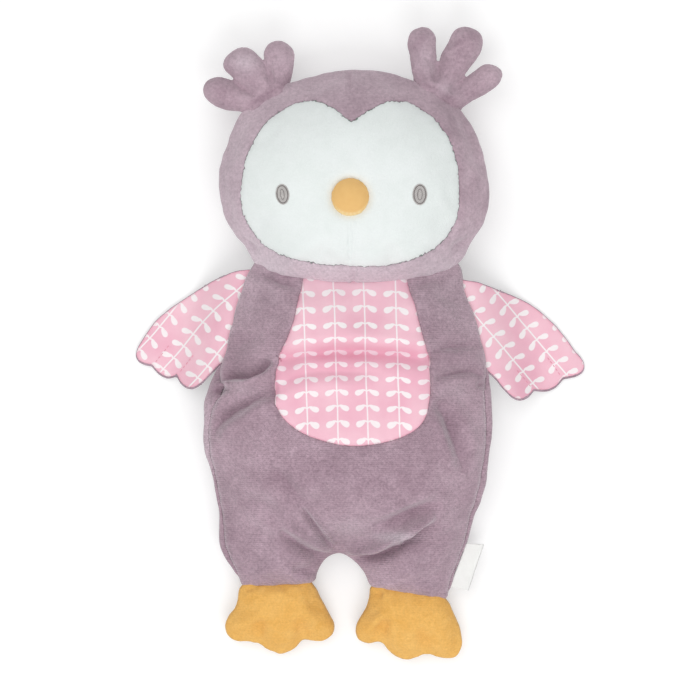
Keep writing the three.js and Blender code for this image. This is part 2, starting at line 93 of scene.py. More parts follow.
def smoothLine(points, height=photo["seamHeight"], closed=True, step=0.0022, rounds=0):
    # a smooth line through the points, sharp at those that carry a third value. A closed one may be
    # evened out by some rounds of averaging, which leave the sharp points where they are
    spots = place(points, height)
    sharp = [len(p) > 2 for p in points]
    count = len(spots)
    parts = []
    for i in range(count if closed else count - 1):
        here, there = spots[i], spots[(i + 1) % count]
        before = spots[i - 1] if closed or i > 0 else here
        after = spots[(i + 2) % count] if closed or i + 2 < count else there
        chord = np.linalg.norm(there - here)
        leave = arrive = there - here
        if not sharp[i]:
            leave = (there - before) * chord / (chord + np.linalg.norm(here - before))
        if not sharp[(i + 1) % count]:
            arrive = (after - here) * chord / (chord + np.linalg.norm(after - there))
        steps = max(2, round(chord / step))
        t = np.arange(steps)[:, None] / steps
        parts.append(
            (2 * t**3 - 3 * t**2 + 1) * here + (t**3 - 2 * t**2 + t) * leave
            + (3 * t**2 - 2 * t**3) * there + (t**3 - t**2) * arrive
        )
    if not closed:
        parts.append(spots[-1:])
    line = np.vstack(parts)
    held = np.concatenate([
        np.arange(len(part)) == (0 if sharp[i % count] else -1) for i, part in enumerate(parts)
    ])
    for _ in range(rounds):
        line = np.where(held[:, None], line, (np.roll(line, 1, 0) + 2 * line + np.roll(line, -1, 0)) / 4)
    return line


def pixelsOf(spots):
    # where points lie in the picture
    grow = pixel * (cameraAbove - (spots[:, 2] - photo["seamHeight"])) / cameraAbove
    return (spots[:, :2] - frameMiddle) / np.stack([grow, -grow], 1) + photo["middle"]


def nearestOn(line, spots, closed=True):
    # distance to a line, the nearest point on it, and how far along it that is, from 0 to 1
    start = line if closed else line[:-1]
    side = np.roll(line, -1, 0)[: len(start)] - start
    lengths = np.linalg.norm(side, axis=1)
    soFar = np.concatenate([[0], np.cumsum(lengths)])
    distance, near, along = np.empty(len(spots)), np.empty((len(spots), 2)), np.empty(len(spots))
    for first in range(0, len(spots), 4000):
        some = spots[first : first + 4000]
        offset = some[:, None, :] - start[None]
        share = np.clip((offset * side).sum(2) / np.maximum(lengths**2, 1e-16), 0, 1)
        gap = offset - share[..., None] * side
        squared = (gap**2).sum(2)
        best = squared.argmin(1)
        rows = np.arange(len(some))
        distance[first : first + 4000] = np.sqrt(squared[rows, best])
        near[first : first + 4000] = some - gap[rows, best]
        along[first : first + 4000] = (soFar[best] + share[rows, best] * lengths[best]) / soFar[-1]
    return distance, near, along


def insideOf(line, spots):
    # true for the points that lie inside a closed line
    start, end = line, np.roll(line, -1, 0)
    inside = np.zeros(len(spots), bool)
    for a, b in zip(start, end):
        if a[1] == b[1]:
            continue
        crosses = (a[1] > spots[:, 1]) != (b[1] > spots[:, 1])
        inside ^= crosses & (spots[:, 0] < (b[0] - a[0]) * (spots[:, 1] - a[1]) / (b[1] - a[1]) + a[0])
    return inside


def depthIn(line, spots):
    # distance to a closed line, positive inside it
    return nearestOn(line, spots)[0] * np.where(insideOf(line, spots), 1, -1)


crown = 0.85  # the lower, the steeper a stuffed part rises from its seam


def swell(share):
    return np.sin(np.clip(share, 0, 1) * math.pi / 2) ** crown


def smoothStep(low, high, value):
    t = np.clip((value - low) / (high - low), 0, 1)
    return t * t * (3 - 2 * t)


def spotsOf(mesh):
    co = np.empty(len(mesh.vertices) * 3)
    mesh.vertices.foreach_get("co", co)
    return co.reshape(-1, 3)


def normalsOf(mesh):
    found = np.empty(len(mesh.vertices) * 3)
    mesh.vertex_normals.foreach_get("vector", found)
    return found.reshape(-1, 3)


def moveSpots(mesh, spots):
    mesh.vertices.foreach_set("co", spots.astype(np.float32).ravel())
    mesh.update()


def newObject(name, mesh):
    obj = bpy.data.objects.new(name, mesh)
    bpy.context.scene.collection.objects.link(obj)
    return obj


def objectFrom(name, bm):
    mesh = bpy.data.meshes.new(name)
    bm.to_mesh(mesh)
    bm.free()
    return newObject(name, mesh)


def finishModifiers(obj):
    # the mesh as its modifiers make it, with none left on it
    shape = obj.evaluated_get(bpy.context.evaluated_depsgraph_get())
    mesh = bpy.data.meshes.new_from_object(shape)
    obj.modifiers.clear()
    obj.data = mesh
    return obj


def subdivided(obj, levels):
    finer = obj.modifiers.new("finer", "SUBSURF")
    finer.levels = finer.render_levels = levels
    return finishModifiers(obj)


def thickened(obj, thickness, offset):
    # cloth of this thickness
    cloth = obj.modifiers.new("cloth", "SOLIDIFY")
    cloth.thickness = thickness
    cloth.offset = offset
    return finishModifiers(obj)


def hinge(name):
    # where a hinge is, along the seam and away from it
    joint = joints[name]
    axis = Vector(joint["axis"])
    return Vector(joint["pos_m"]), axis, Vector((-axis.y, axis.x, 0))


# Stuffed parts

padHalf = 1.5  # half the thickness of a flat pad, in voxels, so that the remesh keeps its two layers apart
rimShare = 0.97  # below this share of it, a point belongs to the rim between the layers


def flatPad(name, outline, voxel):
    # two flat layers joined round the outline, as evenly meshed cloth
    half = padHalf * voxel
    bm = bmesh.new()
    face = bm.faces.new([bm.verts.new((x, y, -half)) for x, y in outline])
    top = bmesh.ops.extrude_face_region(bm, geom=[face])["geom"]
    bmesh.ops.translate(bm, verts=[v for v in top if isinstance(v, bmesh.types.BMVert)], vec=(0, 0, 2 * half))
    bmesh.ops.recalc_face_normals(bm, faces=bm.faces)
    pad = objectFrom(name, bm)
    remesh = pad.modifiers.new("even", "REMESH")
    remesh.mode = "VOXEL"
    remesh.voxel_size = voxel
    finishModifiers(pad)
    return pad, half


def relaxed(pad, rounds):
    bm = bmesh.new()
    bm.from_mesh(pad.data)
    for _ in range(rounds):
        bmesh.ops.smooth_vert(bm, verts=bm.verts, factor=0.5, use_axis_x=True, use_axis_y=True, use_axis_z=True)
    bm.to_mesh(pad.data)
    bm.free()
    return pad


def shapePad(pad, half, look, outline):
    # lifts the two layers by their distance from the seam, and from the edges where the part is open
    spots = spotsOf(pad.data)
    flat = spots[:, :2].copy()
    depth, near, _ = nearestOn(outline, flat)
    share = np.clip(spots[:, 2] / half, -1, 1)
    rim = np.abs(share) < rimShare
    outside = ~insideOf(outline, flat)
    flat[rim | outside] = near[rim | outside]
    depth[rim | outside] = 0
    tall = np.full((2, len(flat)), np.inf)
    for edge in look["edges"]:
        gap = nearestOn(smoothLine(edge["line"], closed=False), flat, closed=False)[0]
        for side, full in enumerate((look["front"], look["back"])):
            rise = edge["half"] + (full - edge["half"]) * swell(gap / edge["reach"])
            tall[side] = np.minimum(tall[side], rise)
    height = np.where(share > 0, tall[0], tall[1])
    spots[:, :2] = flat
    spots[:, 2] = look["seam"](flat) + share * height
    spots[:, 2] = np.maximum(spots[:, 2], look["floor"])
    moveSpots(pad.data, spots)
    held = np.flatnonzero(rim | outside)
    for _ in range(look["evening"]):  # the points of the rim move apart along it
        relaxed(pad, 1)
        spots = spotsOf(pad.data)
        spots[held, :2] = nearestOn(outline, spots[held, :2])[1]
        moveSpots(pad.data, spots)
    pinned = pad.vertex_groups.new(name="seam")
    pinned.add([int(i) for i in held], 1.0, "REPLACE")
    return pad


airRun = {
    "frames": 20, "quality": 5, "mass": 0.2, "stiffness": 15.0, "shearPart": 3, "pinStiffness": 5,
    "pressure": 4.0, "shrink": -0.02,
}


def inflate(pads):
    # cloth with air pressure in it, held at its seams
    starts = {}
    for pad, look in pads:
        starts[pad.name] = spotsOf(pad.data)
        cloth = pad.modifiers.new("cloth", "CLOTH")
        fabric = cloth.settings
        fabric.quality = airRun["quality"]
        fabric.mass = airRun["mass"]
        fabric.tension_stiffness = fabric.compression_stiffness = airRun["stiffness"]
        fabric.shear_stiffness = airRun["stiffness"] / airRun["shearPart"]
        fabric.bending_stiffness = look["bending"]
        fabric.use_pressure = True
        fabric.uniform_pressure_force = airRun["pressure"]
        fabric.vertex_group_mass = "seam"
        fabric.pin_stiffness = airRun["pinStiffness"]
        fabric.shrink_min = airRun["shrink"]
        fabric.effector_weights.gravity = 0
        cloth.collision_settings.use_collision = False
        cloth.collision_settings.use_self_collision = False
        cloth.point_cache.frame_start = 1
        cloth.point_cache.frame_end = airRun["frames"]
    for step in range(1, airRun["frames"] + 1):
        bpy.context.scene.frame_set(step)
        bpy.context.view_layer.update()
    for pad, look in pads:
        finishModifiers(pad)
        moved = spotsOf(pad.data) - starts[pad.name]
        far = np.linalg.norm(moved, axis=1, keepdims=True)
        moved *= np.minimum(1, look["cap"] / np.maximum(far, 1e-9))
        spots = starts[pad.name] + moved
        spots[:, 2] = np.maximum(spots[:, 2], look["floor"])
        moveSpots(pad.data, spots)
        print("inflated", pad.name, "by up to", round(float(far.max()) / mm, 1), "mm")
    bpy.context.scene.frame_set(1)


# What a fold has unless it says otherwise. Lengths beside the fold are in widths of it
plainFold = {
    "height": 0.04, "fade": 0.7, "power": 1.6, "ridge": 0.3, "ridgeAt": 1.9, "ridgeWidth": 0.9,
    "lean": 0, "leanShare": 0.4, "tuck": 0, "lipAt": 0.4, "shadeWidth": 1.1,
}
deepFold = 0.0075  # the depth of a fold whose shade is full
seamClear = (0.001, 0.008)  # folds fade in between these heights above the seam


def pressFolds(pad, folds, seam):
    # valleys in the cloth, each with a low ridge beside it. One that leans is steeper on one side,
    # left of its course where lean is positive, and its tuck draws that side over the valley.
    # How deep in a valley each point lies is kept as a painted shade, which darkens the cloth's colour there
    spots = spotsOf(pad.data)
    normals = normalsOf(pad.data)
    shade = np.zeros(len(spots))
    for fold in folds:
        fold = {**plainFold, "shade": fold["depth"] / deepFold, **fold}
        line = smoothLine(fold["line"], height=fold["height"], closed=False)
        gap, near, along = nearestOn(line, spots[:, :2], closed=False)
        upper = smoothStep(*seamClear, spots[:, 2] - seam(spots[:, :2]))
        ends = np.clip(along * (1 - along) * 4, 0, 1) ** fold["fade"]
        course = line[-1] - line[0]
        aside = np.array([-course[1], course[0]]) / np.linalg.norm(course)
        beside = (spots[:, :2] - near) @ aside
        lean = fold["lean"]
        over = np.sign(beside) * lean
        width = fold["width"] * (1 - fold["leanShare"] * over)
        valley = np.exp(-((gap / width) ** fold["power"]))
        ridge = np.exp(-(((gap - fold["ridgeAt"] * width) / (fold["ridgeWidth"] * width)) ** 2))
        ridge = ridge * fold["ridge"] * (1 + over)
        push = fold["depth"] * (ridge - valley) * ends * upper
        spots += normals * push[:, None]
        shade += np.exp(-((gap / (fold["shadeWidth"] * fold["width"])) ** 2)) * ends * upper * fold["shade"]
        lip = beside * np.sign(lean) / fold["width"]  # the cloth on this side hangs over the valley
        tuck = fold["tuck"] * np.exp(-((lip - fold["lipAt"]) ** 2)) * (gap < 4 * fold["width"]) * ends * upper
        spots[:, :2] -= np.sign(lean) * tuck[:, None] * aside
    moveSpots(pad.data, spots)
    layer = pad.data.attributes.new("paintedShade", "FLOAT", "POINT")
    layer.data.foreach_set("value", np.clip(shade, 0, 1).astype(np.float32))
    return pad


onSeam = 0.00006  # a point this near to a seam lies on it


def cutWhere(bm, signed):
    # an edge loop along the line where a value changes sign
    spots = np.array([v.co for v in bm.verts])
    values = signed(spots)
    values[np.abs(values) < onSeam] = 0
    bm.verts.index_update()
    onLine = [v for v in bm.verts if values[v.index] == 0]
    crossing = []
    for edge in bm.edges:
        a, b = (values[v.index] for v in edge.verts)
        if a * b < 0:
            crossing.append((edge, edge.verts[0], a / (a - b)))
    for edge, vert, share in crossing:
        onLine.append(bmesh.utils.edge_split(edge, vert, share)[1])
    bmesh.ops.connect_verts(bm, verts=onLine)
    return bm


tableGap = 0.0002  # how far the lowest cloth stays above the table


def sewPanels(pad, panels, look):
    # cuts a pad along its seams, draws the cloth in at them, and parts it into its panels.
    # panels has a name and a signed value for each, in the order in which they claim the cloth
    bm = bmesh.new()
    bm.from_mesh(pad.data)
    for _, signed in panels:
        if signed is not None:
            bm.edges.index_update()
            cutWhere(bm, signed)
            bmesh.ops.remove_doubles(bm, verts=bm.verts, dist=look["voxel"] * look["merge"])
    bm.normal_update()
    centres = np.array([face.calc_center_median() for face in bm.faces])
    owner = np.full(len(centres), -1)
    for number, (_, signed) in enumerate(panels):
        mine = np.ones(len(centres), bool) if signed is None else signed(centres) > 0
        owner[(owner < 0) & mine] = number
    bm.faces.index_update()
    sewn = set()
    for edge in bm.edges:
        if len({owner[face.index] for face in edge.link_faces}) > 1:
            sewn.update(edge.verts)
    tree = KDTree(max(1, len(sewn)))
    for vert in sewn:
        tree.insert(vert.co, 0)
    tree.balance()
    seamLayer = bm.verts.layers.float.new("seamGap")
    bumps = []
    for vert in bm.verts:
        spot, _, gap = tree.find(vert.co)
        vert[seamLayer] = gap / mm
        if gap < 6 * look["puckerReach"]:
            pucker = look["pucker"] * noise.noise(spot / look["puckerPitch"])
            pucker *= math.exp(-gap / look["puckerReach"])
            pucker -= look["groove"] * math.exp(-((gap / look["grooveWidth"]) ** 1.3))
            bumps.append((vert, vert.normal * pucker))
    for vert, bump in bumps:
        vert.co += bump
    for vert in bm.verts:
        vert.co.z = max(vert.co.z, tableGap)
    pieces = []
    for number, (name, _) in enumerate(panels):
        part = bm.copy()
        part.faces.ensure_lookup_table()
        others = [face for i, face in enumerate(part.faces) if owner[i] != number]
        bmesh.ops.delete(part, geom=others, context="FACES")
        pieces.append(thickened(objectFrom(name, part), look["cloth"], -1))
    bm.free()
    bpy.data.objects.remove(pad)
    return pieces


def fillingOf(name, pad, look, depth):
    # a closed lump of stuffing that lies inside the cloth
    lump = subdivided(newObject(name, pad.data.copy()), 1)
    pressFolds(lump, look["creases"], look["seam"])
    spots = spotsOf(lump.data) - normalsOf(lump.data) * depth
    moveSpots(lump.data, spots)
    return relaxed(lump, 3)


def dress(piece, finish, nodes=()):
    piece.data.materials.clear()
    piece.data.materials.append(finish)
    piece.data.polygons.foreach_set("use_smooth", [True] * len(piece.data.polygons))
    if nodes:
        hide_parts(*nodes)
    return piece


# Finishes

def newMaterial(name, roughness, sheen=0.0, sheenRoughness=0.5, sheenTint=(1, 1, 1), specular=0.2):
    material = bpy.data.materials.new(name)
    material.use_nodes = True
    shader = material.node_tree.nodes["Principled BSDF"]
    shader.inputs["Roughness"].default_value = roughness
    shader.inputs["Sheen Weight"].default_value = sheen
    shader.inputs["Sheen Roughness"].default_value = sheenRoughness
    shader.inputs["Sheen Tint"].default_value = (*sheenTint, 1)
    shader.inputs["Specular IOR Level"].default_value = specular
    return material, material.node_tree, shader


def link(tree, source, target):
    # joins an output to an input, or sets the input to a value
    if isinstance(source, bpy.types.NodeSocket):
        tree.links.new(source, target)
    else:
        target.default_value = source


def calc(tree, operation, *values, clamp=False):
    node = tree.nodes.new("ShaderNodeMath")
    node.operation = operation
    node.use_clamp = clamp
    for value, socket in zip(values, node.inputs):
        link(tree, value, socket)
    return node.outputs[0]


def sums(tree):
    # the usual sums of one node tree
    return (
        lambda a, b: calc(tree, "ADD", a, b), lambda a, b: calc(tree, "MULTIPLY", a, b),
        lambda a, b: calc(tree, "SUBTRACT", a, b), lambda a, b: calc(tree, "DIVIDE", a, b),
    )


def blended(tree, share, first, second, kind="MIX"):
    node = tree.nodes.new("ShaderNodeMix")
    node.data_type = "RGBA"
    node.blend_type = kind
    link(tree, share, node.inputs["Factor"])
    link(tree, (*first, 1) if isinstance(first, tuple) else first, node.inputs["A"])
    link(tree, (*second, 1) if isinstance(second, tuple) else second, node.inputs["B"])
    return node.outputs["Result"]


def ranged(tree, value, low, high, toLow=0.0, toHigh=1.0):
    node = tree.nodes.new("ShaderNodeMapRange")
    for number, amount in enumerate((value, low, high, toLow, toHigh)):
        link(tree, amount, node.inputs[number])
    return node.outputs[0]


def noiseOf(tree, where, size, detail=2.0, roughness=0.5, distortion=0.0):
    # cloudy noise whose spots are about this large, in metres
    node = tree.nodes.new("ShaderNodeTexNoise")
    link(tree, where, node.inputs["Vector"])
    node.inputs["Scale"].default_value = 1 / size
    node.inputs["Detail"].default_value = detail
    node.inputs["Roughness"].default_value = roughness
    node.inputs["Distortion"].default_value = distortion
    return node.outputs["Fac"]


def ribsOf(tree, where, pitch, direction, distortion=0.0):
    # straight ribs, one every pitch
    node = tree.nodes.new("ShaderNodeTexWave")
    node.bands_direction = direction
    link(tree, where, node.inputs["Vector"])
    node.inputs["Scale"].default_value = math.pi / 10 / pitch
    node.inputs["Distortion"].default_value = distortion
    node.inputs["Detail"].default_value = 2.0
    node.inputs["Detail Scale"].default_value = 1.5
    return node.outputs["Fac"]


def objectPlace(tree):
    return tree.nodes.new("ShaderNodeTexCoord").outputs["Object"]


def attributeOf(tree, name):
    node = tree.nodes.new("ShaderNodeAttribute")
    node.attribute_name = name
    return node.outputs["Fac"]


def bumped(tree, shader, height, distance, strength=1.0):
    node = tree.nodes.new("ShaderNodeBump")
    node.inputs["Distance"].default_value = distance
    node.inputs["Strength"].default_value = strength
    link(tree, height, node.inputs["Height"])
    link(tree, node.outputs["Normal"], shader.inputs["Normal"])


def srgb(*colour):
    # a screen colour, from 0 to 255, as the shader wants it
    return tuple(c / 12.92 if c <= 0.04045 else ((c + 0.055) / 1.055) ** 2.4 for c in (v / 255 for v in colour))


def paintLightAndShade(piece, tone, kept="paintedLight"):
    # adds painted light, or painted shade when kept names the shade attribute, by a point's place in the picture
    layer = piece.data.attributes.get(kept) or piece.data.attributes.new(kept, "FLOAT", "POINT")
    before = np.empty(len(piece.data.vertices), np.float32)
    layer.data.foreach_get("value", before)
    after = np.clip(before + tone(pixelsOf(spotsOf(piece.data))), 0, 1)
    layer.data.foreach_set("value", after.astype(np.float32))


napMix = {"patches": 0.55, "clouds": 0.45, "dark": 0.36, "light": 0.64, "pile": 0.8, "edgeSoft": 0.3}


def velour(name, look):
    # short pile whose nap lies in random patches, over a fine knitted rib, with painted light, painted shade in
    # its folds and a ragged painted shadow along its seams
    material, tree, shader = newMaterial(
        name, look["roughness"], look["sheen"], look["sheenRough"], look["sheenTint"], 0.1
    )
    plus, times, minus = sums(tree)[:3]
    where = objectPlace(tree)
    patches = noiseOf(tree, where, look["patch"], 3.0, 0.6, 0.6)
    clouds = noiseOf(tree, where, look["cloud"], 2.0, 0.5)
    nap = plus(times(patches, napMix["patches"]), times(clouds, napMix["clouds"]))
    nap = ranged(tree, nap, napMix["dark"], napMix["light"])
    colour = blended(tree, nap, look["dark"], look["light"])
    # painted light: paler where the painted light tone is set, as sheen and as the lit side
    colour = blended(tree, attributeOf(tree, "paintedLight"), colour, look["pale"])
    pile = noiseOf(tree, where, look["pile"], 3.0, 0.75)
    ribs = ribsOf(tree, where, look["rib"], "Y", 1.2)
    speckle = ranged(tree, pile, 0.3, 0.7, 1 - look["speckle"], 1 + look["speckle"])
    ribShade = ranged(tree, ribs, 0.0, 1.0, 1 - look["ribShade"], 1.0)
    tint = tree.nodes.new("ShaderNodeCombineColor")
    shade = times(speckle, ribShade)
    for socket in tint.inputs[:3]:
        link(tree, shade, socket)
    colour = blended(tree, 1.0, colour, tint.outputs[0], "MULTIPLY")
    # painted shade: darker in the folds and at the other shaded places painted on the piece
    colour = blended(tree, attributeOf(tree, "paintedShade"), colour, look["paintedShadeTint"], "MULTIPLY")
    # painted shadow along the seams: a ragged darker colour where the cloth meets the next panel
    ragged = minus(noiseOf(tree, where, look["edgeGrain"], 3.0, 0.65), 0.5)
    edge = plus(attributeOf(tree, "seamGap"), times(ragged, look["edgeRough"]))
    edge = ranged(tree, edge, look["edge"], look["edge"] + napMix["edgeSoft"], 1.0, 0.0)
    colour = blended(tree, edge, colour, look["seamShadowColour"])
    link(tree, colour, shader.inputs["Base Color"])
    bumped(tree, shader, plus(times(pile, napMix["pile"]), times(ribs, look["ribBump"])), look["bump"])
    return material


def printedCotton(name, look):
    # white vines on pink cotton: a thin stem and pairs of leaves, drawn in the cloth's own coordinates
    material, tree, shader = newMaterial(name, 0.75, 0.15, 0.5, (1, 0.85, 0.9), 0.2)
    plus, times, minus, over = sums(tree)
    uv = tree.nodes.new("ShaderNodeUVMap")
    uv.uv_map = "cloth"
    split = tree.nodes.new("ShaderNodeSeparateXYZ")
    link(tree, uv.outputs["UV"], split.inputs[0])
    across, along = split.outputs[0], split.outputs[1]
    wander = noiseOf(tree, uv.outputs["UV"], 3.0, 1.0)
    across = plus(across, times(minus(wander, 0.5), look["wander"]))
    aside = calc(tree, "ABSOLUTE", times(minus(across, calc(tree, "ROUND", across)), look["columnPitch"]))
    below = times(minus(along, calc(tree, "ROUND", along)), look["rowPitch"])
    stem = ranged(tree, aside, look["stem"], look["stem"] + look["blur"], 1.0, 0.0)
    leafX = minus(aside, look["leafOut"])
    leafY = minus(below, look["leafDown"])
    turn = math.radians(look["leafDroop"])
    longWay = plus(times(leafX, math.cos(turn)), times(leafY, math.sin(turn)))
    wide = minus(times(leafY, math.cos(turn)), times(leafX, math.sin(turn)))
    longWay = over(longWay, look["leafLong"] / 2)
    taper = plus(times(longWay, look["leafTaper"]), 1.0)  # fuller towards the tip
    wide = over(over(wide, look["leafWide"] / 2), taper)
    leaf = calc(tree, "SQRT", plus(calc(tree, "POWER", longWay, 2.0), calc(tree, "POWER", wide, 2.0)))
    leaf = ranged(tree, leaf, 1 - look["leafBlur"], 1 + look["leafBlur"], 1.0, 0.0)
    arch = times(calc(tree, "POWER", minus(aside, look["stalkTop"]), 2.0), look["stalkBend"])
    arch = calc(tree, "ABSOLUTE", minus(plus(below, look["stalkUp"]), arch))
    stalk = ranged(tree, arch, look["stalk"], look["stalk"] + look["blur"], 1.0, 0.0)
    stalk = times(stalk, calc(tree, "LESS_THAN", aside, look["leafOut"]))
    vine = calc(tree, "MAXIMUM", calc(tree, "MAXIMUM", stem, leaf), stalk)
    where = objectPlace(tree)
    dye = ranged(tree, noiseOf(tree, where, 0.02, 3.0), 0.3, 0.7)
    ground = blended(tree, dye, look["deep"], look["pale"])
    # painted light: the print is paler at its chest, under the chin
    ground = blended(tree, attributeOf(tree, "paintedLight"), ground, look["paintedLit"])
    colour = blended(tree, times(vine, look["cover"]), ground, look["white"])
    # painted shadow: the print is darker along its seams
    edge = ranged(tree, attributeOf(tree, "seamGap"), 0.0, look["edge"], look["edgeShare"], 0.0)
    colour = blended(tree, edge, colour, look["seamShadowColour"])
    # painted shade: darker in folds and at the print's dark places
    colour = blended(tree, attributeOf(tree, "paintedShade"), colour, look["paintedShadeTint"], "MULTIPLY")
    link(tree, colour, shader.inputs["Base Color"])
    weave = times(*(ribsOf(tree, where, look["weave"], way) for way in "XY"))
    bumped(tree, shader, plus(weave, noiseOf(tree, where, look["slub"], 3.0)), look["bump"], 0.6)
    return material


def thread(name, dark, light, pitch=0.0003):
    # twisted thread
    material, tree, shader = newMaterial(name, 0.55, 0.2, 0.4, light, 0.3)
    plus, times = sums(tree)[:2]
    where = objectPlace(tree)
    twist = ribsOf(tree, where, pitch, "DIAGONAL")
    tone = plus(times(twist, 0.5), times(noiseOf(tree, where, 0.0015), 0.5))
    link(tree, blended(tree, tone, dark, light), shader.inputs["Base Color"])
    bumped(tree, shader, twist, 0.00008)
    return material


def plainWeave(name, dark, light, pale, roughness, pitch, bump):
    # smooth cloth of one colour, with a painted highlight where the painted light tone is set
    material, tree, shader = newMaterial(name, roughness, 0.1, 0.5, light, 0.3)
    plus, times = sums(tree)[:2]
    where = objectPlace(tree)
    weave = times(*(ribsOf(tree, where, pitch, way, 0.4) for way in "XY"))
    tone = plus(times(weave, 0.4), times(noiseOf(tree, where, 0.003, 3.0), 0.6))
    colour = blended(tree, attributeOf(tree, "paintedLight"), blended(tree, tone, dark, light), pale)
    link(tree, colour, shader.inputs["Base Color"])
    bumped(tree, shader, weave, bump)
    return material


def fibre(name):
    # loose stuffing
    material, tree, shader = newMaterial(name, 0.95, 0.3)
    where = objectPlace(tree)
    tufts = noiseOf(tree, where, 0.002, 4.0, 0.7, 1.5)
    link(tree, blended(tree, tufts, (0.78, 0.77, 0.74), (0.95, 0.95, 0.93)), shader.inputs["Base Color"])
    bumped(tree, shader, tufts, 0.0008)
    return material


# On the velour looks, pale is the colour of painted light, the fold tint a painted shade and the seam colour a
# painted shadow along the seams; dark and light are the nap's random patches
plushLook = {
    "dark": srgb(160, 134, 147), "light": srgb(183, 157, 170), "pale": srgb(220, 207, 215), "patch": 0.010,
    "cloud": 0.03, "pile": 0.0013, "rib": 0.00105, "ribShade": 0.10, "ribBump": 0.3, "speckle": 0.26,
    "bump": 0.0005, "roughness": 0.9, "sheen": 0.7, "sheenRough": 0.5, "sheenTint": (1.0, 0.95, 0.98),
    "edge": -0.1, "edgeRough": 0.3, "edgeGrain": 0.001, "seamShadowColour": srgb(134, 110, 124),
    "paintedShadeTint": (0.77, 0.725, 0.755),
}
plushFinish = velour("mauveVelour", plushLook)
hoodFinish = velour("mauvePile", {
    **plushLook, "dark": srgb(152, 126, 139), "light": srgb(184, 159, 171), "ribShade": 0.02, "ribBump": 0.05,
    "patch": 0.010, "pile": 0.0016, "speckle": 0.18,
})
# the face's ragged greenish seam line is a painted shadow between the face and the hood
faceFinish = velour("paleVelour", {
    "dark": srgb(227, 233, 231), "light": srgb(232, 237, 236), "pale": srgb(240, 243, 243), "patch": 0.01,
    "cloud": 0.03, "pile": 0.0009, "rib": 0.0009, "ribShade": 0.0, "ribBump": 0.0, "speckle": 0.02,
    "bump": 0.0003, "roughness": 0.9, "sheen": 0.15, "sheenRough": 0.5, "sheenTint": (1, 1, 1),
    "edge": 0.15, "edgeRough": 3.6, "edgeGrain": 0.0018, "seamShadowColour": srgb(122, 138, 130),
    "paintedShadeTint": (0.72, 0.76, 0.75),
})
# the feet's seam colour and fold tint are painted shade too
feetFinish = velour("yellowVelour", {
    "dark": srgb(226, 172, 91), "light": srgb(234, 184, 106), "pale": srgb(243, 204, 140), "patch": 0.006,
    "cloud": 0.02, "pile": 0.0012, "rib": 0.0009, "ribShade": 0.04, "ribBump": 0.15, "speckle": 0.10,
    "bump": 0.0003, "roughness": 0.88, "sheen": 0.6, "sheenRough": 0.35, "sheenTint": (1, 0.88, 0.66),
    "edge": -0.05, "edgeRough": 0.3, "edgeGrain": 0.001, "seamShadowColour": srgb(196, 140, 66),
    "paintedShadeTint": (0.90, 0.74, 0.55),
})
# deep and pale are the print's dye; the paler chest colour is painted light, the seam colour a painted shadow and
# the fold tint painted shade
vinePrint = {
    "columnPitch": 16.1, "rowPitch": 8.1, "stem": 0.3, "wander": 0.07,
    "leafOut": 3.8, "leafDown": 0.6, "leafDroop": 22.0, "leafLong": 5.2, "leafWide": 2.85, "leafTaper": 0.3,
    "stalk": 0.36, "stalkTop": 1.9, "stalkUp": 0.7, "stalkBend": 0.2,
    "blur": 0.16, "leafBlur": 0.07, "cover": 0.96,
    "deep": srgb(238, 181, 199), "pale": srgb(245, 202, 214), "white": srgb(248, 242, 243),
    "edge": 1.2, "edgeShare": 0.45, "seamShadowColour": srgb(230, 150, 175), "paintedShadeTint": (0.88, 0.70, 0.77),
    "paintedLit": srgb(252, 226, 234), "weave": 0.0004, "slub": 0.0015, "bump": 0.00012,
}
printFinish = printedCotton("vinePrintCotton", vinePrint)
# the nose's pale colour is a painted highlight on its lower gathers
noseFinish = plainWeave(
    "noseCloth", srgb(236, 187, 116), srgb(244, 201, 131), srgb(253, 226, 170), 0.6, 0.0005, 0.00015
)
ribbonFinish = plainWeave(
    "whiteRibbon", srgb(236, 236, 233), srgb(248, 248, 246), srgb(250, 250, 250), 0.5, 0.0003, 0.00006
)
eyeThread = thread("greyThread", srgb(150, 146, 144), srgb(214, 210, 208), 0.0005)
eyeRimThread = thread("darkGreyThread", srgb(104, 99, 98), srgb(148, 143, 141), 0.0005)
wingThread = thread("pinkThread", srgb(222, 130, 156), srgb(240, 176, 194))
fillingFinish = fibre("fibreFilling")
print("finishes made")


# Outlines and pads

padLook = {"rounds": 0, "evening": 4, "merge": 0.05, "height": 0.022, "floor": 0.0, "levels": 1}
headLook = {
    **padLook,
    "outline": [
        (354, 70.4), (370, 70.9), (383, 72.4), (395, 75.2), (407, 79), (423, 85), (438, 92.6), (451, 101.6),
        (463, 114), (474, 131), (482, 152), (487, 175), (489, 199), (483.5, 222), (475, 236), (469.5, 244),
        (466, 254), (459, 262, "corner"), (447, 270), (430, 275.6), (407, 279.6), (380, 281.6), (355, 282),
        (328, 281.2), (303, 279), (281, 275.4), (265, 268), (255, 264, "corner"), (250, 254), (243.5, 243.5),
        (236, 236), (226.4, 221.4), (220.6, 198.5), (218.8, 175), (224.7, 152), (232.5, 131), (239, 116),
        (244, 110.3), (252, 104.5), (263, 97), (276, 89.4), (289, 84), (300, 80.6), (311, 77.2), (323, 74),
        (338, 71.4),
    ],
    "rounds": 4,
    "voxel": 0.003,
    "levels": 2,
    "grow": 0.0004,
    "lump": 0.0004,
    "lumpPitch": 0.018,
    "front": 0.0345,
    "back": 0.026,
    "cloth": 0.0016,
    "groove": 0.0008,
    "grooveWidth": 0.0013,
    "pucker": 0.0006,
    "puckerReach": 0.005,
    "puckerPitch": 0.006,
    "bending": 0.5,
    "cap": 0.0035,
}
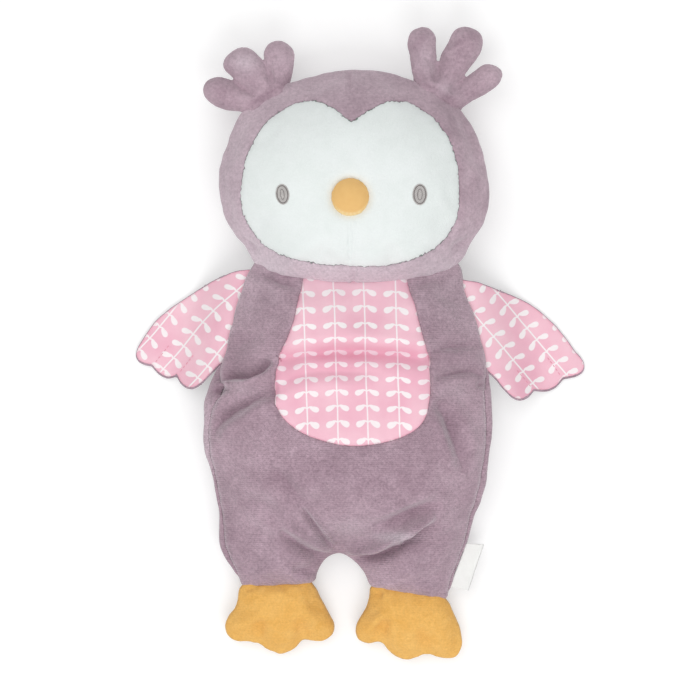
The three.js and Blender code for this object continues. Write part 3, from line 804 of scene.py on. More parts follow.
faceLine = [
    (351, 121.5, "corner"), (363, 113.5), (382, 101.5), (403, 98), (421, 104.5), (436, 117.5), (448, 133),
    (456, 151.5), (460, 171), (461.3, 190), (460.8, 209), (455, 228), (443, 243.5), (426.5, 254.5),
    (409.5, 261.5), (394, 265.6), (378, 267.6), (350, 267), (323, 265.4), (308, 263), (292.6, 259.4),
    (273.5, 253), (258.5, 242.5), (247.5, 227), (239.8, 209), (238.6, 190), (240.8, 171), (245.6, 152),
    (254.6, 135), (265.5, 119.5), (280.5, 107), (297, 98.8), (308, 97.4), (320, 99.6), (337, 109),
]

bodyLook = {
    **padLook,
    "outline": [
        (262, 255), (280, 264), (303, 269), (355, 271), (407, 269), (430, 264), (450, 254), (457.5, 261),
        (461.5, 275), (465, 292), (471, 308), (478, 330), (484, 352), (488.5, 374), (490.3, 388), (491, 410),
        (491, 440), (489, 460), (485, 482), (479, 507), (474, 524), (468, 545), (462, 559), (456, 576),
        (451, 590), (449, 603, "corner"), (409, 594), (369, 587, "corner"), (368, 578), (363, 570.5),
        (355, 562.5), (347, 557), (340, 554), (333, 555), (325, 560.5), (319, 570), (316.5, 583, "corner"),
        (278, 586), (239.5, 589, "corner"), (236, 579), (230, 567), (224, 555), (220.5, 541), (219, 522),
        (216, 500), (211.5, 478), (207.5, 460), (204.5, 443), (204, 422), (205.5, 402), (210, 385),
        (217, 372), (222, 360), (229, 337), (236, 312), (242, 292), (247, 276), (252.5, 265),
    ],
    "rounds": 2,
    "voxel": 0.003,
    "levels": 2,
    "grow": 0.0002,
    "lump": 0.0013,
    "lumpPitch": 0.018,
    "front": 0.0205,
    "back": 0.026,
    "cloth": 0.0016,
    "groove": 0.0012,
    "grooveWidth": 0.0014,
    "pucker": 0.0009,
    "puckerReach": 0.007,
    "puckerPitch": 0.008,
    "bending": 0.4,
    "cap": 0.0035,
}
frontSeamLine = [
    (246, 245), (464, 245), (464, 263), (465, 275), (468, 292), (474, 308), (481, 330), (485.5, 348),
    (487.6, 362), (488.2, 372), (487.2, 379), (485.2, 384), (486.4, 391), (487.4, 409), (487.6, 432),
    (486.4, 455), (482, 480), (475.8, 505), (471, 524), (466, 545), (460.6, 560), (455, 576), (450, 590),
    (449.5, 615), (409, 620), (366, 620), (366, 590), (364.6, 580), (360, 573.5), (353, 566.5),
    (346, 561), (340, 558.5), (334.5, 559.5), (328, 564.5), (322.5, 572), (320, 583), (319.5, 620), (278, 620),
    (239, 620), (239, 588), (236.6, 579), (231, 566), (225.6, 553), (222.6, 540), (221.2, 520), (218, 500),
    (213.8, 480), (209.6, 460), (207.8, 440), (208.4, 420), (212, 409), (215.4, 400.5), (219, 394), (225.6, 388.4),
    (222, 384.4), (219.6, 379), (218.8, 370), (220.5, 361), (226.5, 337), (233, 312), (239, 292), (244, 276),
    (247, 267),
]
bellyLine = [
    (306, 250), (304, 270), (302, 284), (297, 300), (293.5, 316), (288.5, 332), (282, 348), (277, 364),
    (274.5, 380), (273, 396), (275, 406), (279, 413.5), (285, 420.5), (294, 428), (308, 436), (331, 443.5),
    (355, 446.5), (380, 444), (406, 436), (418, 428.5), (425, 420), (429, 410), (431.5, 396), (431.5, 380),
    (430, 364), (427, 348), (423, 332), (418.5, 316), (414, 300), (408.5, 284), (406, 270), (404, 250),
]

earLooks = {
    "left": {
        "outline": [
            (242.6, 112), (232, 111.2), (222.5, 109), (211.5, 103.8), (204.6, 96), (203, 89.5), (204.8, 83.2),
            (210, 79), (217, 76.9), (225, 78), (233, 80.6), (242, 88, "corner"), (233.8, 79), (226, 71),
            (223.4, 64), (225.8, 57.4), (231, 52), (237.6, 48.4), (245.6, 47), (252, 49.4), (257.4, 54.6),
            (262, 60), (267.5, 70, "corner"), (264.6, 59), (264.2, 51.6), (268.2, 45), (275.6, 41.2),
            (284, 42), (291.4, 47), (294.8, 55), (294, 66), (291.6, 76), (290.5, 85),
            (296, 93, "corner"), (250, 122, "corner"),
        ],
        "root": [(296, 93), (250, 122)],
        "creases": [
            {"line": [(232, 79), (243, 86), (256, 96)], "depth": 0.0017, "width": 0.0015, "fade": 0.6},
            {"line": [(262, 58), (267.5, 70), (272, 82)], "depth": 0.0015, "width": 0.0020, "fade": 0.4},
            {"line": [(222, 96), (238, 101)], "depth": 0.0005, "width": 0.003},
            # a shallow crease along the hood's edge that carries a painted shadow where the ear meets the hood
            {"line": [(296, 82), (288, 83), (276, 88), (263, 95.5), (251, 103.5), (240, 113)],
             "depth": 0.0009, "width": 0.0018, "fade": 0.25, "shade": 0.75, "ridge": 0},
        ],
        # places of painted light on the ear
        "pale": [(245, 62, 14, 11, 0.40), (280, 60, 14, 14, 0.12)],
    },
    "right": {
        "outline": [
            (413.4, 82), (412.4, 73), (410.8, 64), (409, 55), (407.8, 47), (408, 40), (410.4, 33),
            (415.2, 28.4), (421.6, 26.6), (428.4, 28.2), (433, 32.4), (435.4, 38), (435.9, 45), (436, 52),
            (437.5, 69, "corner"), (441, 55.6), (444.4, 49.6), (447.4, 43.6), (450, 37.4), (453.2, 31.8),
            (458.4, 28), (465.4, 26.6), (473, 28.6), (479.2, 33.4), (482.4, 40), (482.2, 47), (479, 54.4),
            (474.6, 61.6), (468.5, 70), (460, 82, "corner"), (470, 74.2), (475.4, 70.6), (481.4, 66.2),
            (488.8, 64), (496, 65.8), (500.8, 70.4), (502.2, 75.6), (500.4, 81), (496, 86.4), (490.6, 91),
            (480, 97), (468, 103.4), (462.6, 108), (457, 117, "corner"), (408, 89, "corner"),
        ],
        "root": [(457, 117), (408, 89)],
        "creases": [
            {"line": [(437, 56), (437, 68), (434, 80)], "depth": 0.0014, "width": 0.0020, "fade": 0.4},
            {"line": [(467.5, 33), (461, 48), (456, 68)], "depth": 0.0012, "width": 0.0022},
            {"line": [(470, 70), (460, 81), (450, 90)], "depth": 0.0016, "width": 0.0020, "fade": 0.4},
            {"line": [(481, 88), (462, 90), (446, 95)], "depth": 0.0009, "width": 0.0028},
            # a shallow crease along the hood's edge that carries a painted shadow where the ear meets the hood
            {"line": [(405, 78), (423, 83.5), (439, 91), (452, 100), (466, 116)],
             "depth": 0.0009, "width": 0.0018, "fade": 0.25, "shade": 0.6, "ridge": 0},
        ],
        # places of painted light on the ear
        "pale": [(445, 90, 12, 8, 0.22), (425, 60, 12, 20, 0.18)],
    },
}
earLook = {
    **padLook,
    "grow": 0.0001,
    "lump": 0.0004,
    "lumpPitch": 0.008,
    "voxel": 0.0006,
    "front": 0.0072,
    "back": 0.0072,
    "half": 0.0011,
    "rootHalf": 0.0045,
    "reach": 0.0085,
    "floor": 0.002,
    "cloth": 0.0012,
    "groove": 0.0006,
    "grooveWidth": 0.0008,
    "pucker": 0.0004,
    "puckerReach": 0.003,
    "puckerPitch": 0.004,
    "bending": 0.3,
    "cap": 0.002,
    "seamInset": -0.0004,
    # an even painted light over the ears' upper cloth
    "paintedLit": 0.06,
}

footLooks = {
    "left": {
        "outline": [
            (239.4, 589.5), (238.4, 598), (235, 608.6), (227.6, 618), (225, 626.4), (228, 635.6), (235.6, 640.6),
            (247, 641.4), (257, 642.4), (265, 648), (273, 652.2), (281.5, 653.6), (290.6, 650.8), (297.6, 644.8),
            (303.6, 639.6), (313, 641.2), (322.6, 641), (331, 635.4), (333.8, 625), (329.5, 614), (322.5, 601.5),
            (316.4, 589), (312.4, 583), (308, 574, "corner"), (248, 579, "corner"), (243, 585),
        ],
        "root": [(308, 574), (248, 579)],
        "creases": [
            {"line": [(257, 641), (259, 632), (262, 622)], "depth": 0.0016, "width": 0.0028},
            {"line": [(304, 640), (300, 631), (295, 622)], "depth": 0.0016, "width": 0.0028},
            {"line": [(240, 594), (247, 591.5), (254, 591)], "depth": 0.0013, "width": 0.0014},
            {"line": [(296, 589), (308, 586)], "depth": 0.0007, "width": 0.0018},
        ],
    },
    "right": {
        "outline": [
            (369.6, 588.5), (369.4, 598), (363, 614), (356.6, 627), (356.8, 636.6), (363, 642), (371, 643),
            (380.5, 641.4), (388.5, 650.5), (397, 657), (407, 659.4), (418, 656.5), (427.5, 653.4),
            (437, 656.5), (447, 658.2), (457.5, 655.6), (461.8, 643), (458.3, 624), (453, 612), (448.6, 602.5),
            (443, 596), (442, 590, "corner"), (378, 578, "corner"), (374, 584),
        ],
        "root": [(442, 590), (378, 578)],
        "creases": [
            {"line": [(381, 641), (384, 631), (389, 621)], "depth": 0.0016, "width": 0.0028},
            {"line": [(427, 653), (424, 641), (420, 630)], "depth": 0.0016, "width": 0.0028},
            {"line": [(369, 593), (376, 594.5), (383, 598)], "depth": 0.0022, "width": 0.0017},
            {"line": [(408, 603), (440, 612)], "depth": 0.0006, "width": 0.003},
        ],
    },
}
footLook = {
    **padLook,
    "height": 0.009,
    "grow": 0.0003,
    "lump": 0.0005,
    "lumpPitch": 0.009,
    "voxel": 0.0015,
    "front": 0.0095,
    "back": 0.009,
    "half": 0.0014,
    "rootHalf": 0.0052,
    "reach": 0.013,
    "cloth": 0.0014,
    "groove": 0.0007,
    "grooveWidth": 0.001,
    "pucker": 0.0005,
    "puckerReach": 0.004,
    "puckerPitch": 0.005,
    "bending": 0.3,
    "cap": 0.002,
    "seamInset": 0.0009,
    "toeSeam": 0.0062,
    "ankleSeam": 0.012,
    "toeReach": 0.036,
}


def bodySeam(flat):
    # how high the side seam lies: level at the chest, lower at the legs
    return np.interp(flat[:, 1], [-0.054, -0.0057], [0.012, 0.022])


def levelSeam(flat):
    return np.full(len(flat), photo["seamHeight"])


def footSeam(side):
    spot, _, away = hinge(f"foot_{side}_bend")

    def height(flat):
        out = (flat - np.array(spot[:2])) @ np.array(away[:2])
        return np.interp(out, [0, footLook["toeReach"]], [footLook["ankleSeam"], footLook["toeSeam"]])

    return height


headLook["seam"] = levelSeam
headOutline = headLook["outline"]
chinStart, chinEnd = 17, 27  # the two ends of the chin in the outline
headLook["edges"] = [
    {"line": headOutline[chinEnd:] + headOutline[: chinStart + 1], "half": 0.0016, "reach": 0.048},
    {"line": headOutline[chinStart : chinEnd + 1], "half": 0.0125, "reach": 0.03},
]
bodyOutline = bodyLook["outline"]
bodyLook["seam"] = bodySeam
bodyLook["edges"] = [
    {"line": bodyOutline[:7], "half": 0.0065, "reach": 0.034},
    {"line": bodyOutline[6:26], "half": 0.0016, "reach": 0.04},
    {"line": bodyOutline[25:28], "half": 0.0068, "reach": 0.022},
    {"line": bodyOutline[27:37], "half": 0.0016, "reach": 0.034},
    {"line": bodyOutline[36:39], "half": 0.0068, "reach": 0.022},
    {"line": bodyOutline[38:] + bodyOutline[:1], "half": 0.0016, "reach": 0.04},
]


def limbEdges(look, line, root):
    return [
        {"line": line, "half": look["half"], "reach": look["reach"]},
        {"line": root, "half": look["rootHalf"], "reach": look["reach"]},
    ]


def grown(line, by):
    # a closed line moved outwards
    ahead = np.roll(line, -1, 0) - np.roll(line, 1, 0)
    length = np.maximum(np.linalg.norm(ahead, axis=1, keepdims=True), 1e-9)
    out = np.stack([ahead[:, 1], -ahead[:, 0]], 1) / length
    turned = np.sum(line[:, 0] * np.roll(line[:, 1], -1) - np.roll(line[:, 0], -1) * line[:, 1])
    return line + out * by * (1 if turned > 0 else -1)


def startPad(name, look):
    outline = grown(smoothLine(look["outline"], look["height"], rounds=look["rounds"]), look["grow"])
    pad, half = flatPad(name, outline, look["voxel"])
    shapePad(pad, half, look, outline)
    return pad


headPad = startPad("headPad", headLook)
bodyPad = startPad("bodyPad", bodyLook)
limbs = {}
for side in ("left", "right"):
    shape = earLooks[side]
    look = {**earLook, **shape, "seam": levelSeam}
    look["edges"] = limbEdges(look, shape["outline"][:-1], shape["root"])
    limbs[f"ear_{side}"] = (startPad(f"ear_{side}Pad", look), look)
    shape = footLooks[side]
    look = {**footLook, **shape, "seam": footSeam(side)}
    look["edges"] = limbEdges(look, shape["outline"], shape["root"])
    limbs[f"foot_{side}"] = (startPad(f"foot_{side}Pad", look), look)
print("flat pads laid out")
inflate([(headPad, headLook), (bodyPad, bodyLook), *limbs.values()])
print("stuffed parts swollen")

headLook["creases"] = [
    {"line": [(350, 220), (350, 240), (350, 266)], "depth": 0.0006, "width": 0.0009, "ridge": 0.8, "shade": 0},
    {"line": [(349.5, 64), (349.5, 80), (350, 96)], "depth": 0.0009, "width": 0.0012, "ridge": 0.8, "shade": 0.1},
    {"line": [(353, 264), (353.5, 288)], "depth": 0.0007, "width": 0.0011, "ridge": 0.6, "shade": 0.15},
    {"line": [(480, 240), (464, 244), (450, 251)], "depth": 0.0026, "width": 0.0024},
    {"line": [(230, 239), (245, 243), (258, 251)], "depth": 0.0026, "width": 0.0024},
]
bodyLook["creases"] = [
    {"line": [(226, 350), (242, 341), (264, 336)], "depth": 0.0020, "width": 0.0045},
    {"line": [(220, 381), (231, 379), (243, 379), (254, 375), (263.5, 370), (271, 361)],
     "depth": 0.0060, "width": 0.0030, "lean": -0.9, "tuck": 0.0014, "ridge": 0.3, "fade": 0.6},
    {"line": [(209, 436), (221, 421), (237, 410), (254, 399.5), (267, 393.5), (279, 389)],
     "depth": 0.0052, "width": 0.0038, "lean": -0.5, "tuck": 0.0008, "fade": 0.6},
    {"line": [(212, 391), (221, 389), (231, 387)],
     "depth": 0.0030, "width": 0.0017, "lean": 0.4, "ridge": 0.4, "height": 0.03},
    {"line": [(221, 364), (221.5, 384)], "depth": -0.0014, "width": 0.0030, "ridge": 0, "height": 0.03},
    {"line": [(274, 466), (289, 487), (306, 506)], "depth": 0.0027, "width": 0.0042, "lean": 0.3},
    {"line": [(279, 531), (294, 540.5), (305, 548), (317, 554.5), (331, 558.5)],
     "depth": 0.0042, "width": 0.0030, "lean": 0.7, "tuck": 0.0010, "ridge": 0.6, "fade": 0.6},
    {"line": [(302, 508), (315.5, 526), (323.6, 537.5), (332, 549)],
     "depth": 0.0036, "width": 0.0016, "power": 1.2, "ridge": 0.6, "lean": 0.4, "tuck": 0.0004},
    {"line": [(346, 562), (366, 558.5), (384.4, 552.5), (400.5, 544.5), (414.3, 536.5), (440, 521)],
     "depth": 0.0064, "width": 0.0034, "lean": 0.8, "tuck": 0.0014, "ridge": 0.7, "fade": 0.75},
    {"line": [(374, 530), (397, 519.5), (414, 512), (442, 502)],
     "depth": 0.0042, "width": 0.0034, "lean": 0.3, "ridge": 0.45},
    {"line": [(429, 361), (436.3, 351.5), (445, 347.5), (458, 346.5), (468, 344.5), (479, 341)],
     "depth": 0.0025, "width": 0.0026, "lean": -0.4, "tuck": 0.0004},
    {"line": [(435, 378), (449.6, 375.5), (462, 373), (473, 372.5), (484, 375)],
     "depth": 0.0029, "width": 0.0024, "lean": -0.6, "tuck": 0.0006, "fade": 0.5},
    {"line": [(436, 400), (447, 416.5), (453, 431.5), (460, 452), (465, 474)],
     "depth": 0.0046, "width": 0.0036, "lean": -0.3},
    {"line": [(477, 384.5), (484.6, 384), (492, 382.5)], "depth": 0.0030, "width": 0.0016, "height": 0.03},
    {"line": [(280, 360), (300, 356), (330, 353), (360, 353), (395, 355), (430, 358)],
     "depth": 0.0066, "width": 0.0046, "power": 1.7, "ridge": 0.12, "lean": 0.3, "fade": 0.35},
    {"line": [(272, 386), (285, 380), (310, 373), (350, 372), (385, 374)], "depth": 0.0034, "width": 0.0036},
    {"line": [(252, 268), (266, 275), (281, 281), (300, 285)], "depth": 0.0026, "width": 0.0022, "fade": 0.4},
    {"line": [(410, 285), (430, 281), (447, 275), (459, 267)], "depth": 0.0014, "width": 0.0022, "fade": 0.4},
    {"line": [(226, 452), (244, 446), (262, 444)], "depth": 0.0014, "width": 0.0036},
    {"line": [(238, 500), (262, 505), (288, 520)], "depth": 0.0016, "width": 0.0045},
    {"line": [(292, 573), (303, 572), (315, 571)], "depth": 0.0024, "width": 0.0026},
]


def shaped(pad, look):
    # finer cloth with the lumps of the stuffing and its folds in it
    subdivided(pad, look["levels"])
    lumps = [noise.noise(Vector(spot) / look["lumpPitch"]) for spot in spotsOf(pad.data)]
    moveSpots(pad.data, spotsOf(pad.data) + normalsOf(pad.data) * np.array(lumps)[:, None] * look["lump"])
    pressFolds(pad, look["creases"], look["seam"])
    return pad


def topSide(line, seam, height, rounds=0, ragged=0.0):
    # a value that is positive on the upper cloth inside a line
    edge = smoothLine(line, height, rounds=rounds)

    def signed(spots):
        inside = depthIn(edge, spots[:, :2])
        if ragged:
            near = np.flatnonzero(np.abs(inside) < 0.003)
            inside[near] += [ragged * noise.noise(Vector(spots[i]) / 0.0013) for i in near]
        return np.minimum(inside, spots[:, 2] - seam(spots[:, :2]))

    return signed


def aboveSeam(seam, rise=0.0):
    return lambda spots: spots[:, 2] - seam(spots[:, :2]) - rise


def bendAtRoot(piece):
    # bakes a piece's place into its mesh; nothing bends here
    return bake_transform(piece)


def bendLimb(piece):
    return bendAtRoot(piece)


def nod(piece):
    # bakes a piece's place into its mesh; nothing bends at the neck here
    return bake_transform(piece)


# Fillings, made before the cloth is cut
stuffing = {"head": 0.0036, "body": 0.0044, "ear": 0.0028, "foot": 0.0028}
for name, (pad, look) in {"head": (headPad, headLook), "body": (bodyPad, bodyLook), **limbs}.items():
    lump = fillingOf(f"{name}Stuffing", pad, look, stuffing[name.split("_")[0]])
    dress(lump, fillingFinish, (f"{name}_filling",))
    if name in ("head", "body"):
        nod(lump)
    else:
        bendLimb(lump)
print("fillings made")


# Head and body

nose = {
    "centre": (350.4, 197.0), "radius": 0.0100, "rise": 0.0078, "tuck": 0.16, "gathers": 24, "gatherDepth": 0.010,
    "gatherFrom": 0.45, "gatherFromBelow": 0.34, "gatherReach": 0.16, "tuckReach": 0.8, "lineDepth": 0.05,
    # shade: the least share of the painted highlight that the lower gathers keep
    "lineWidth": 0.06, "lump": 0.02, "lumpTurns": 1.7, "shade": 0.75,
    # the face is drawn in round it
    "dent": 0.0024, "dentFrom": 0.008, "dentReach": 0.0032, "faceAbove": 0.03, "sink": 0.0012,
}
shaped(headPad, headLook)
spots = spotsOf(headPad.data)
noseSpot = place([nose["centre"]], 0.058)[0]
aside = np.linalg.norm(spots[:, :2] - noseSpot, axis=1)
dent = nose["dent"] * np.exp(-((np.maximum(aside - nose["dentFrom"], 0) / nose["dentReach"]) ** 2))
spots[:, 2] -= np.where(spots[:, 2] > nose["faceAbove"], dent, 0)
moveSpots(headPad.data, spots)
face, hood, headBack = sewPanels(headPad, [
    ("facePanel", topSide(faceLine, levelSeam, 0.05, 9, 0.0007)),
    ("headHood", aboveSeam(levelSeam)),
    ("headBackPanel", None),
], headLook)
dress(face, faceFinish, ("face_panel",))
dress(hood, hoodFinish, ("head_hood",))
dress(headBack, hoodFinish, ("head_back",))
# painted light on the hood: paler rows towards the chin and a paler left side
hoodPaintedLight = {"y": [80, 130, 170, 215, 250, 275], "pale": [0.18, 0.08, 0.09, 0.12, 0.36, 0.54], "left": 0.26}


def paintHoodLight(points):
    # painted light: paler towards the chin, and on the left side
    aside = np.clip((points[:, 0] - 350) / -110, 0, 1)
    return np.interp(points[:, 1], hoodPaintedLight["y"], hoodPaintedLight["pale"]) + hoodPaintedLight["left"] * aside


paintLightAndShade(hood, paintHoodLight)
shaped(bodyPad, bodyLook)
belly, bodyFront, bodyBack = sewPanels(bodyPad, [
    ("bellyPrint", topSide(bellyLine, bodySeam, 0.045, 3)),
    ("bodyFrontPanel", topSide(frontSeamLine, bodySeam, 0.026, 3)),
    ("bodyBackPanel", None),
], bodyLook)
dress(belly, printFinish, ("belly_panel",))
dress(bodyFront, plushFinish, ("body_front",))
dress(bodyBack, plushFinish, ("body_back",))
# painted light and painted shade on the body's panels
bodyLightAndShade = {
    "chestRows": [280, 345], "chest": 0.12, "edge": 0.30, "edgeReach": 3.0,
    # places of painted light and of painted shade: x, y, reach across and along, and how much
    "pale": [
        (396, 537, 18, 5, 0.75), (318, 542, 10, 10, 0.12), (250, 392, 14, 6, 0.12), (455, 392, 16, 8, 0.10),
        (350, 528, 26, 11, 0.22),
    ],
    "dark": [
        (285, 276, 13, 5, 0.95), (262, 560, 34, 22, 0.26), (350, 482, 50, 22, 0.25), (410, 568, 26, 18, 0.15),
        (450, 425, 9, 14, 0.25), (228, 515, 12, 24, 0.22),
    ],
    "backPale": [(207, 450, 7, 50, 0.35)],
    "backDark": [(217, 386, 7, 12, 1.0)],
    # painted light on the chest of the belly's print, and painted shade in its listed dark places
    "printPale": [(350, 281, 60, 12, 0.45)],  # the chest of the belly's print
    "printDark": [
        (350, 408, 75, 40, 0.16), (284, 362, 15, 16, 0.70), (376, 358, 36, 12, 0.16), (426, 385, 9, 16, 0.45),
    ],
}


def spread(points, places):
    # soft round places in the picture
    return sum(
        much * np.exp(-(((points[:, 0] - x) / wide) ** 2) - ((points[:, 1] - y) / tall) ** 2)
        for x, y, wide, tall, much in places
    )


def paintBodyLight(points):
    # painted light: paler at the chest, along the side seams and at the pale places
    gap = nearestOn(np.array(frontSeamLine), points)[0]
    tone = np.interp(points[:, 1], bodyLightAndShade["chestRows"], [bodyLightAndShade["chest"], 0])
    tone = tone + bodyLightAndShade["edge"] * np.exp(-((gap / bodyLightAndShade["edgeReach"]) ** 2))
    return tone + spread(points, bodyLightAndShade["pale"])


paintLightAndShade(bodyFront, paintBodyLight)
# painted shade on the front and back at the dark places, painted light on the back's strip and the print's chest,
# painted shade in the print's dark places
for piece, kind, kept in (
    (bodyFront, "dark", "paintedShade"), (bodyBack, "backPale", "paintedLight"), (bodyBack, "backDark", "paintedShade"),
    (belly, "printPale", "paintedLight"), (belly, "printDark", "paintedShade"),
):
    paintLightAndShade(piece, lambda points: spread(points, bodyLightAndShade[kind]), kept)
print("head and body sewn")

# Where the vines of the belly run, in pixels
bellyVines = {
    "columns": [241.5, 272.5, 303.8, 334.4, 364.4, 396.3, 428.5, 459.0],
    "columnsAt": 316.0,
    "drift": 0.032,
    "middle": 3.55,
    "sag": 0.058,
    "rows": [243, 259, 275, 291, 307, 324, 338.5, 351.5, 363, 377, 391, 406.5, 422, 440, 456],
}
wingVines = {
    "left": {
        "across": (0.72, 0.694), "along": (-0.694, 0.72), "start": (373.6, 30.8), "pitch": (31.0, 15.3),
        "bow": 0.14, "slant": 0.15,
    },
    "right": {
        "across": (0.763, -0.647), "along": (0.647, 0.763), "start": (189.8, 546.5), "pitch": (31.1, 15.2),
        "bow": 0, "slant": 0,
    },
    "bowAt": 3.2,
    "bowReach": 2.4,
}


def mapCloth(piece, mapping):
    # the print's columns and rows, at every corner of the cloth
    layer = piece.data.uv_layers.new(name="cloth")
    values = mapping(pixelsOf(spotsOf(piece.data)))
    corners = np.empty(len(piece.data.loops), int)
    piece.data.loops.foreach_get("vertex_index", corners)
    layer.data.foreach_set("uv", values[corners].astype(np.float32).ravel())
    return piece


def bellyMapping(points):
    across = points[:, 0] - (points[:, 1] - bellyVines["columnsAt"]) * bellyVines["drift"]
    columns = np.interp(across, bellyVines["columns"], range(len(bellyVines["columns"])))
    rows = np.interp(points[:, 1], bellyVines["rows"], range(len(bellyVines["rows"])))
    rows = rows - bellyVines["sag"] * (columns - bellyVines["middle"]) ** 2
    return np.stack([columns, rows], 1)


def wingMapping(side):
    vines = wingVines[side]

    def mapping(points):
        columns, rows = (
            (points @ np.array(vines[way]) - start) / pitch
            for way, start, pitch in zip(("across", "along"), vines["start"], vines["pitch"])
        )
        columns = columns + vines["bow"] * np.exp(-(((rows - wingVines["bowAt"]) / wingVines["bowReach"]) ** 2))
        return np.stack([columns, rows + vines["slant"] * columns], 1)

    return mapping


mapCloth(belly, bellyMapping)


# Nose

def heightOf(pieces, missing=photo["seamHeight"]):
    # the height of the top of some pieces, straight above a point
    graph = bpy.context.evaluated_depsgraph_get()
    trees = [BVHTree.FromObject(piece, graph) for piece in pieces]

    def height(x, y):
        hits = [tree.ray_cast(Vector((x, y, 0.2)), Vector((0, 0, -1)))[0] for tree in trees]
        return max((hit.z for hit in hits if hit), default=missing)

    return height


faceHeight = heightOf([face, hood])


def makeNose(name, grow, finish, node):
    bm = bmesh.new()
    bmesh.ops.create_uvsphere(bm, u_segments=96, v_segments=48, radius=1)
    x, y = noseSpot
    middle = Vector((x, y, faceHeight(x, y) - nose["sink"]))
    tone = bm.verts.layers.float.new("paintedLight")
    for vert in bm.verts:
        # gathers all round, which reach further up on the side towards the chin
        start = nose["gatherFrom"] + nose["gatherFromBelow"] * max(0, -vert.co.y) ** 1.5
        low = min(1, max(0, (nose["gatherFrom"] - vert.co.z) / nose["tuckReach"]))
        gathered = min(1, max(0, (start - vert.co.z) / nose["gatherReach"]))
        angle = math.atan2(vert.co.y, vert.co.x)
        gather = math.sin(nose["gathers"] * angle + 1.7 * math.sin(3 * angle) + math.sin(5 * angle + 1))
        out = nose["radius"] * (1 + nose["gatherDepth"] * gather * gathered) * (1 - nose["tuck"] * low * low)
        out *= 1 + nose["lump"] * noise.noise(vert.co * nose["lumpTurns"])
        line = math.exp(-(((vert.co.z - start) / nose["lineWidth"]) ** 2)) * max(0, -vert.co.y)
        rise = nose["rise"] * (1 - nose["lineDepth"] * line)
        # painted highlight: the gathers on the lower side, towards the chin, are paler
        vert[tone] = gathered * max(0, -vert.co.y) * (nose["shade"] + (1 - nose["shade"]) * gather)
        vert.co = middle + Vector((vert.co.x * out, vert.co.y * out, vert.co.z * rise)) * grow
    piece = dress(objectFrom(name, bm), finish, (node,))
    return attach(piece, "head")


makeNose("noseBall", 1.0, noseFinish, "nose_cover")
makeNose("noseStuffing", 0.86, fillingFinish, "nose_filling")


# Threads

tipTaper = 0.85  # how far a stitch thins out at its ends


def tubes(name, routes, radius, sides=8):
    # round threads, each a list of points and whether it ends where it starts
    bm = bmesh.new()
    for spots, closed, taper in routes:
        count = len(spots)
        rings = []
        for i, spot in enumerate(spots):
            before = spots[i - 1] if closed or i else spots[0]
            after = spots[(i + 1) % count] if closed or i + 1 < count else spots[-1]
            ahead = (after - before).normalized()
            aside = ahead.cross(Vector((0, 0, 1))).normalized()
            up = aside.cross(ahead)
            share = abs(2 * i / (count - 1) - 1) if taper else 0
            wide = radius * math.sqrt(1 - tipTaper * share**4)
            turn = [2 * math.pi * k / sides for k in range(sides)]
            rings.append([bm.verts.new(spot + wide * (math.cos(t) * aside + math.sin(t) * up)) for t in turn])
        for i in range(count if closed else count - 1):
            here, there = rings[i], rings[(i + 1) % count]
            for k in range(sides):
                bm.faces.new((here[k], here[k - 1], there[k - 1], there[k]))
        if not closed:
            bm.faces.new(rings[0])
            bm.faces.new(rings[-1])
    bmesh.ops.recalc_face_normals(bm, faces=bm.faces)
    return objectFrom(name, bm)


eyes = {
    "left": {"centre": (282.6, 194.6), "half": (6.3, 9.5), "tilt": 7.0},
    "right": {"centre": (419.6, 194.9), "half": (6.8, 9.9), "tilt": -2.0},
    "thread": 0.00030,
    "light": [0.0, 0.00105, 0.00150, 0.00195, 0.00270, 0.00312, 0.00335],
    "dark": [0.00055, 0.00238],
    "lift": 0.00012,
    "wobble": 0.00008,
    "wobblePitch": 0.001,
    "wobbleShift": 0.0004,  # from one ring to the next
    "step": 0.0006,
}


def ovalRoute(centre, half, tilt, inset, height, wobble):
    # a closed oval lying on the face
    spots = []
    pitch = eyes["wobblePitch"]
    wide, tall = (h * pixel - inset for h in half)
    steps = max(12, round((wide + tall) * math.pi / eyes["step"]))
    for i in range(steps):
        turn = 2 * math.pi * i / steps
        x, y = max(wide, 0.0001) * math.cos(turn), tall * math.sin(turn)
        x += wobble * noise.noise((x / pitch, y / pitch, inset / eyes["wobbleShift"]))
        x, y = x * math.cos(tilt) - y * math.sin(tilt), x * math.sin(tilt) + y * math.cos(tilt)
        x, y = centre[0] + x, centre[1] + y
        spots.append(Vector((x, y, height(x, y) + eyes["lift"])))
    return spots


for side in ("left", "right"):
    eye = eyes[side]
    centre = place([eye["centre"]], 0.05)[0]
    tilt = math.radians(eye["tilt"])
    for tone, finish in (("dark", eyeRimThread), ("light", eyeThread)):
        rings = [
            (ovalRoute(centre, eye["half"], tilt, inset, faceHeight, eyes["wobble"]), True, False)
            for inset in eyes[tone] if eye["half"][0] * pixel - inset > 0
        ]
        stitching = tubes(f"{tone}EyeThread{side.title()}", rings, eyes["thread"])
        dress(stitching, finish, (f"eye_{side}",))
        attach(stitching, "head")
print("nose and eyes made")


# Ears and feet

for name, (pad, look) in limbs.items():
    kind, side = name.split("_")
    shaped(pad, look)
    upper, lower = sewPanels(pad, [
        (f"{kind}Upper{side.title()}", aboveSeam(look["seam"], look["seamInset"])),
        (f"{kind}Lower{side.title()}", None),
    ], look)
    if kind == "ear":
        dress(upper, hoodFinish, (f"{name}_front",))
        dress(lower, hoodFinish, (f"{name}_back",))
        # painted light on the ears' upper cloth: an even amount plus the ears' pale places
        paintLightAndShade(upper, lambda points: look["paintedLit"] + spread(points, look["pale"]))
    else:
        dress(upper, feetFinish, (f"{name}_top",))
        dress(lower, feetFinish, (f"{name}_sole",))
    for piece in (upper, lower):
        bendLimb(piece)
print("ears and feet sewn")


# Wings

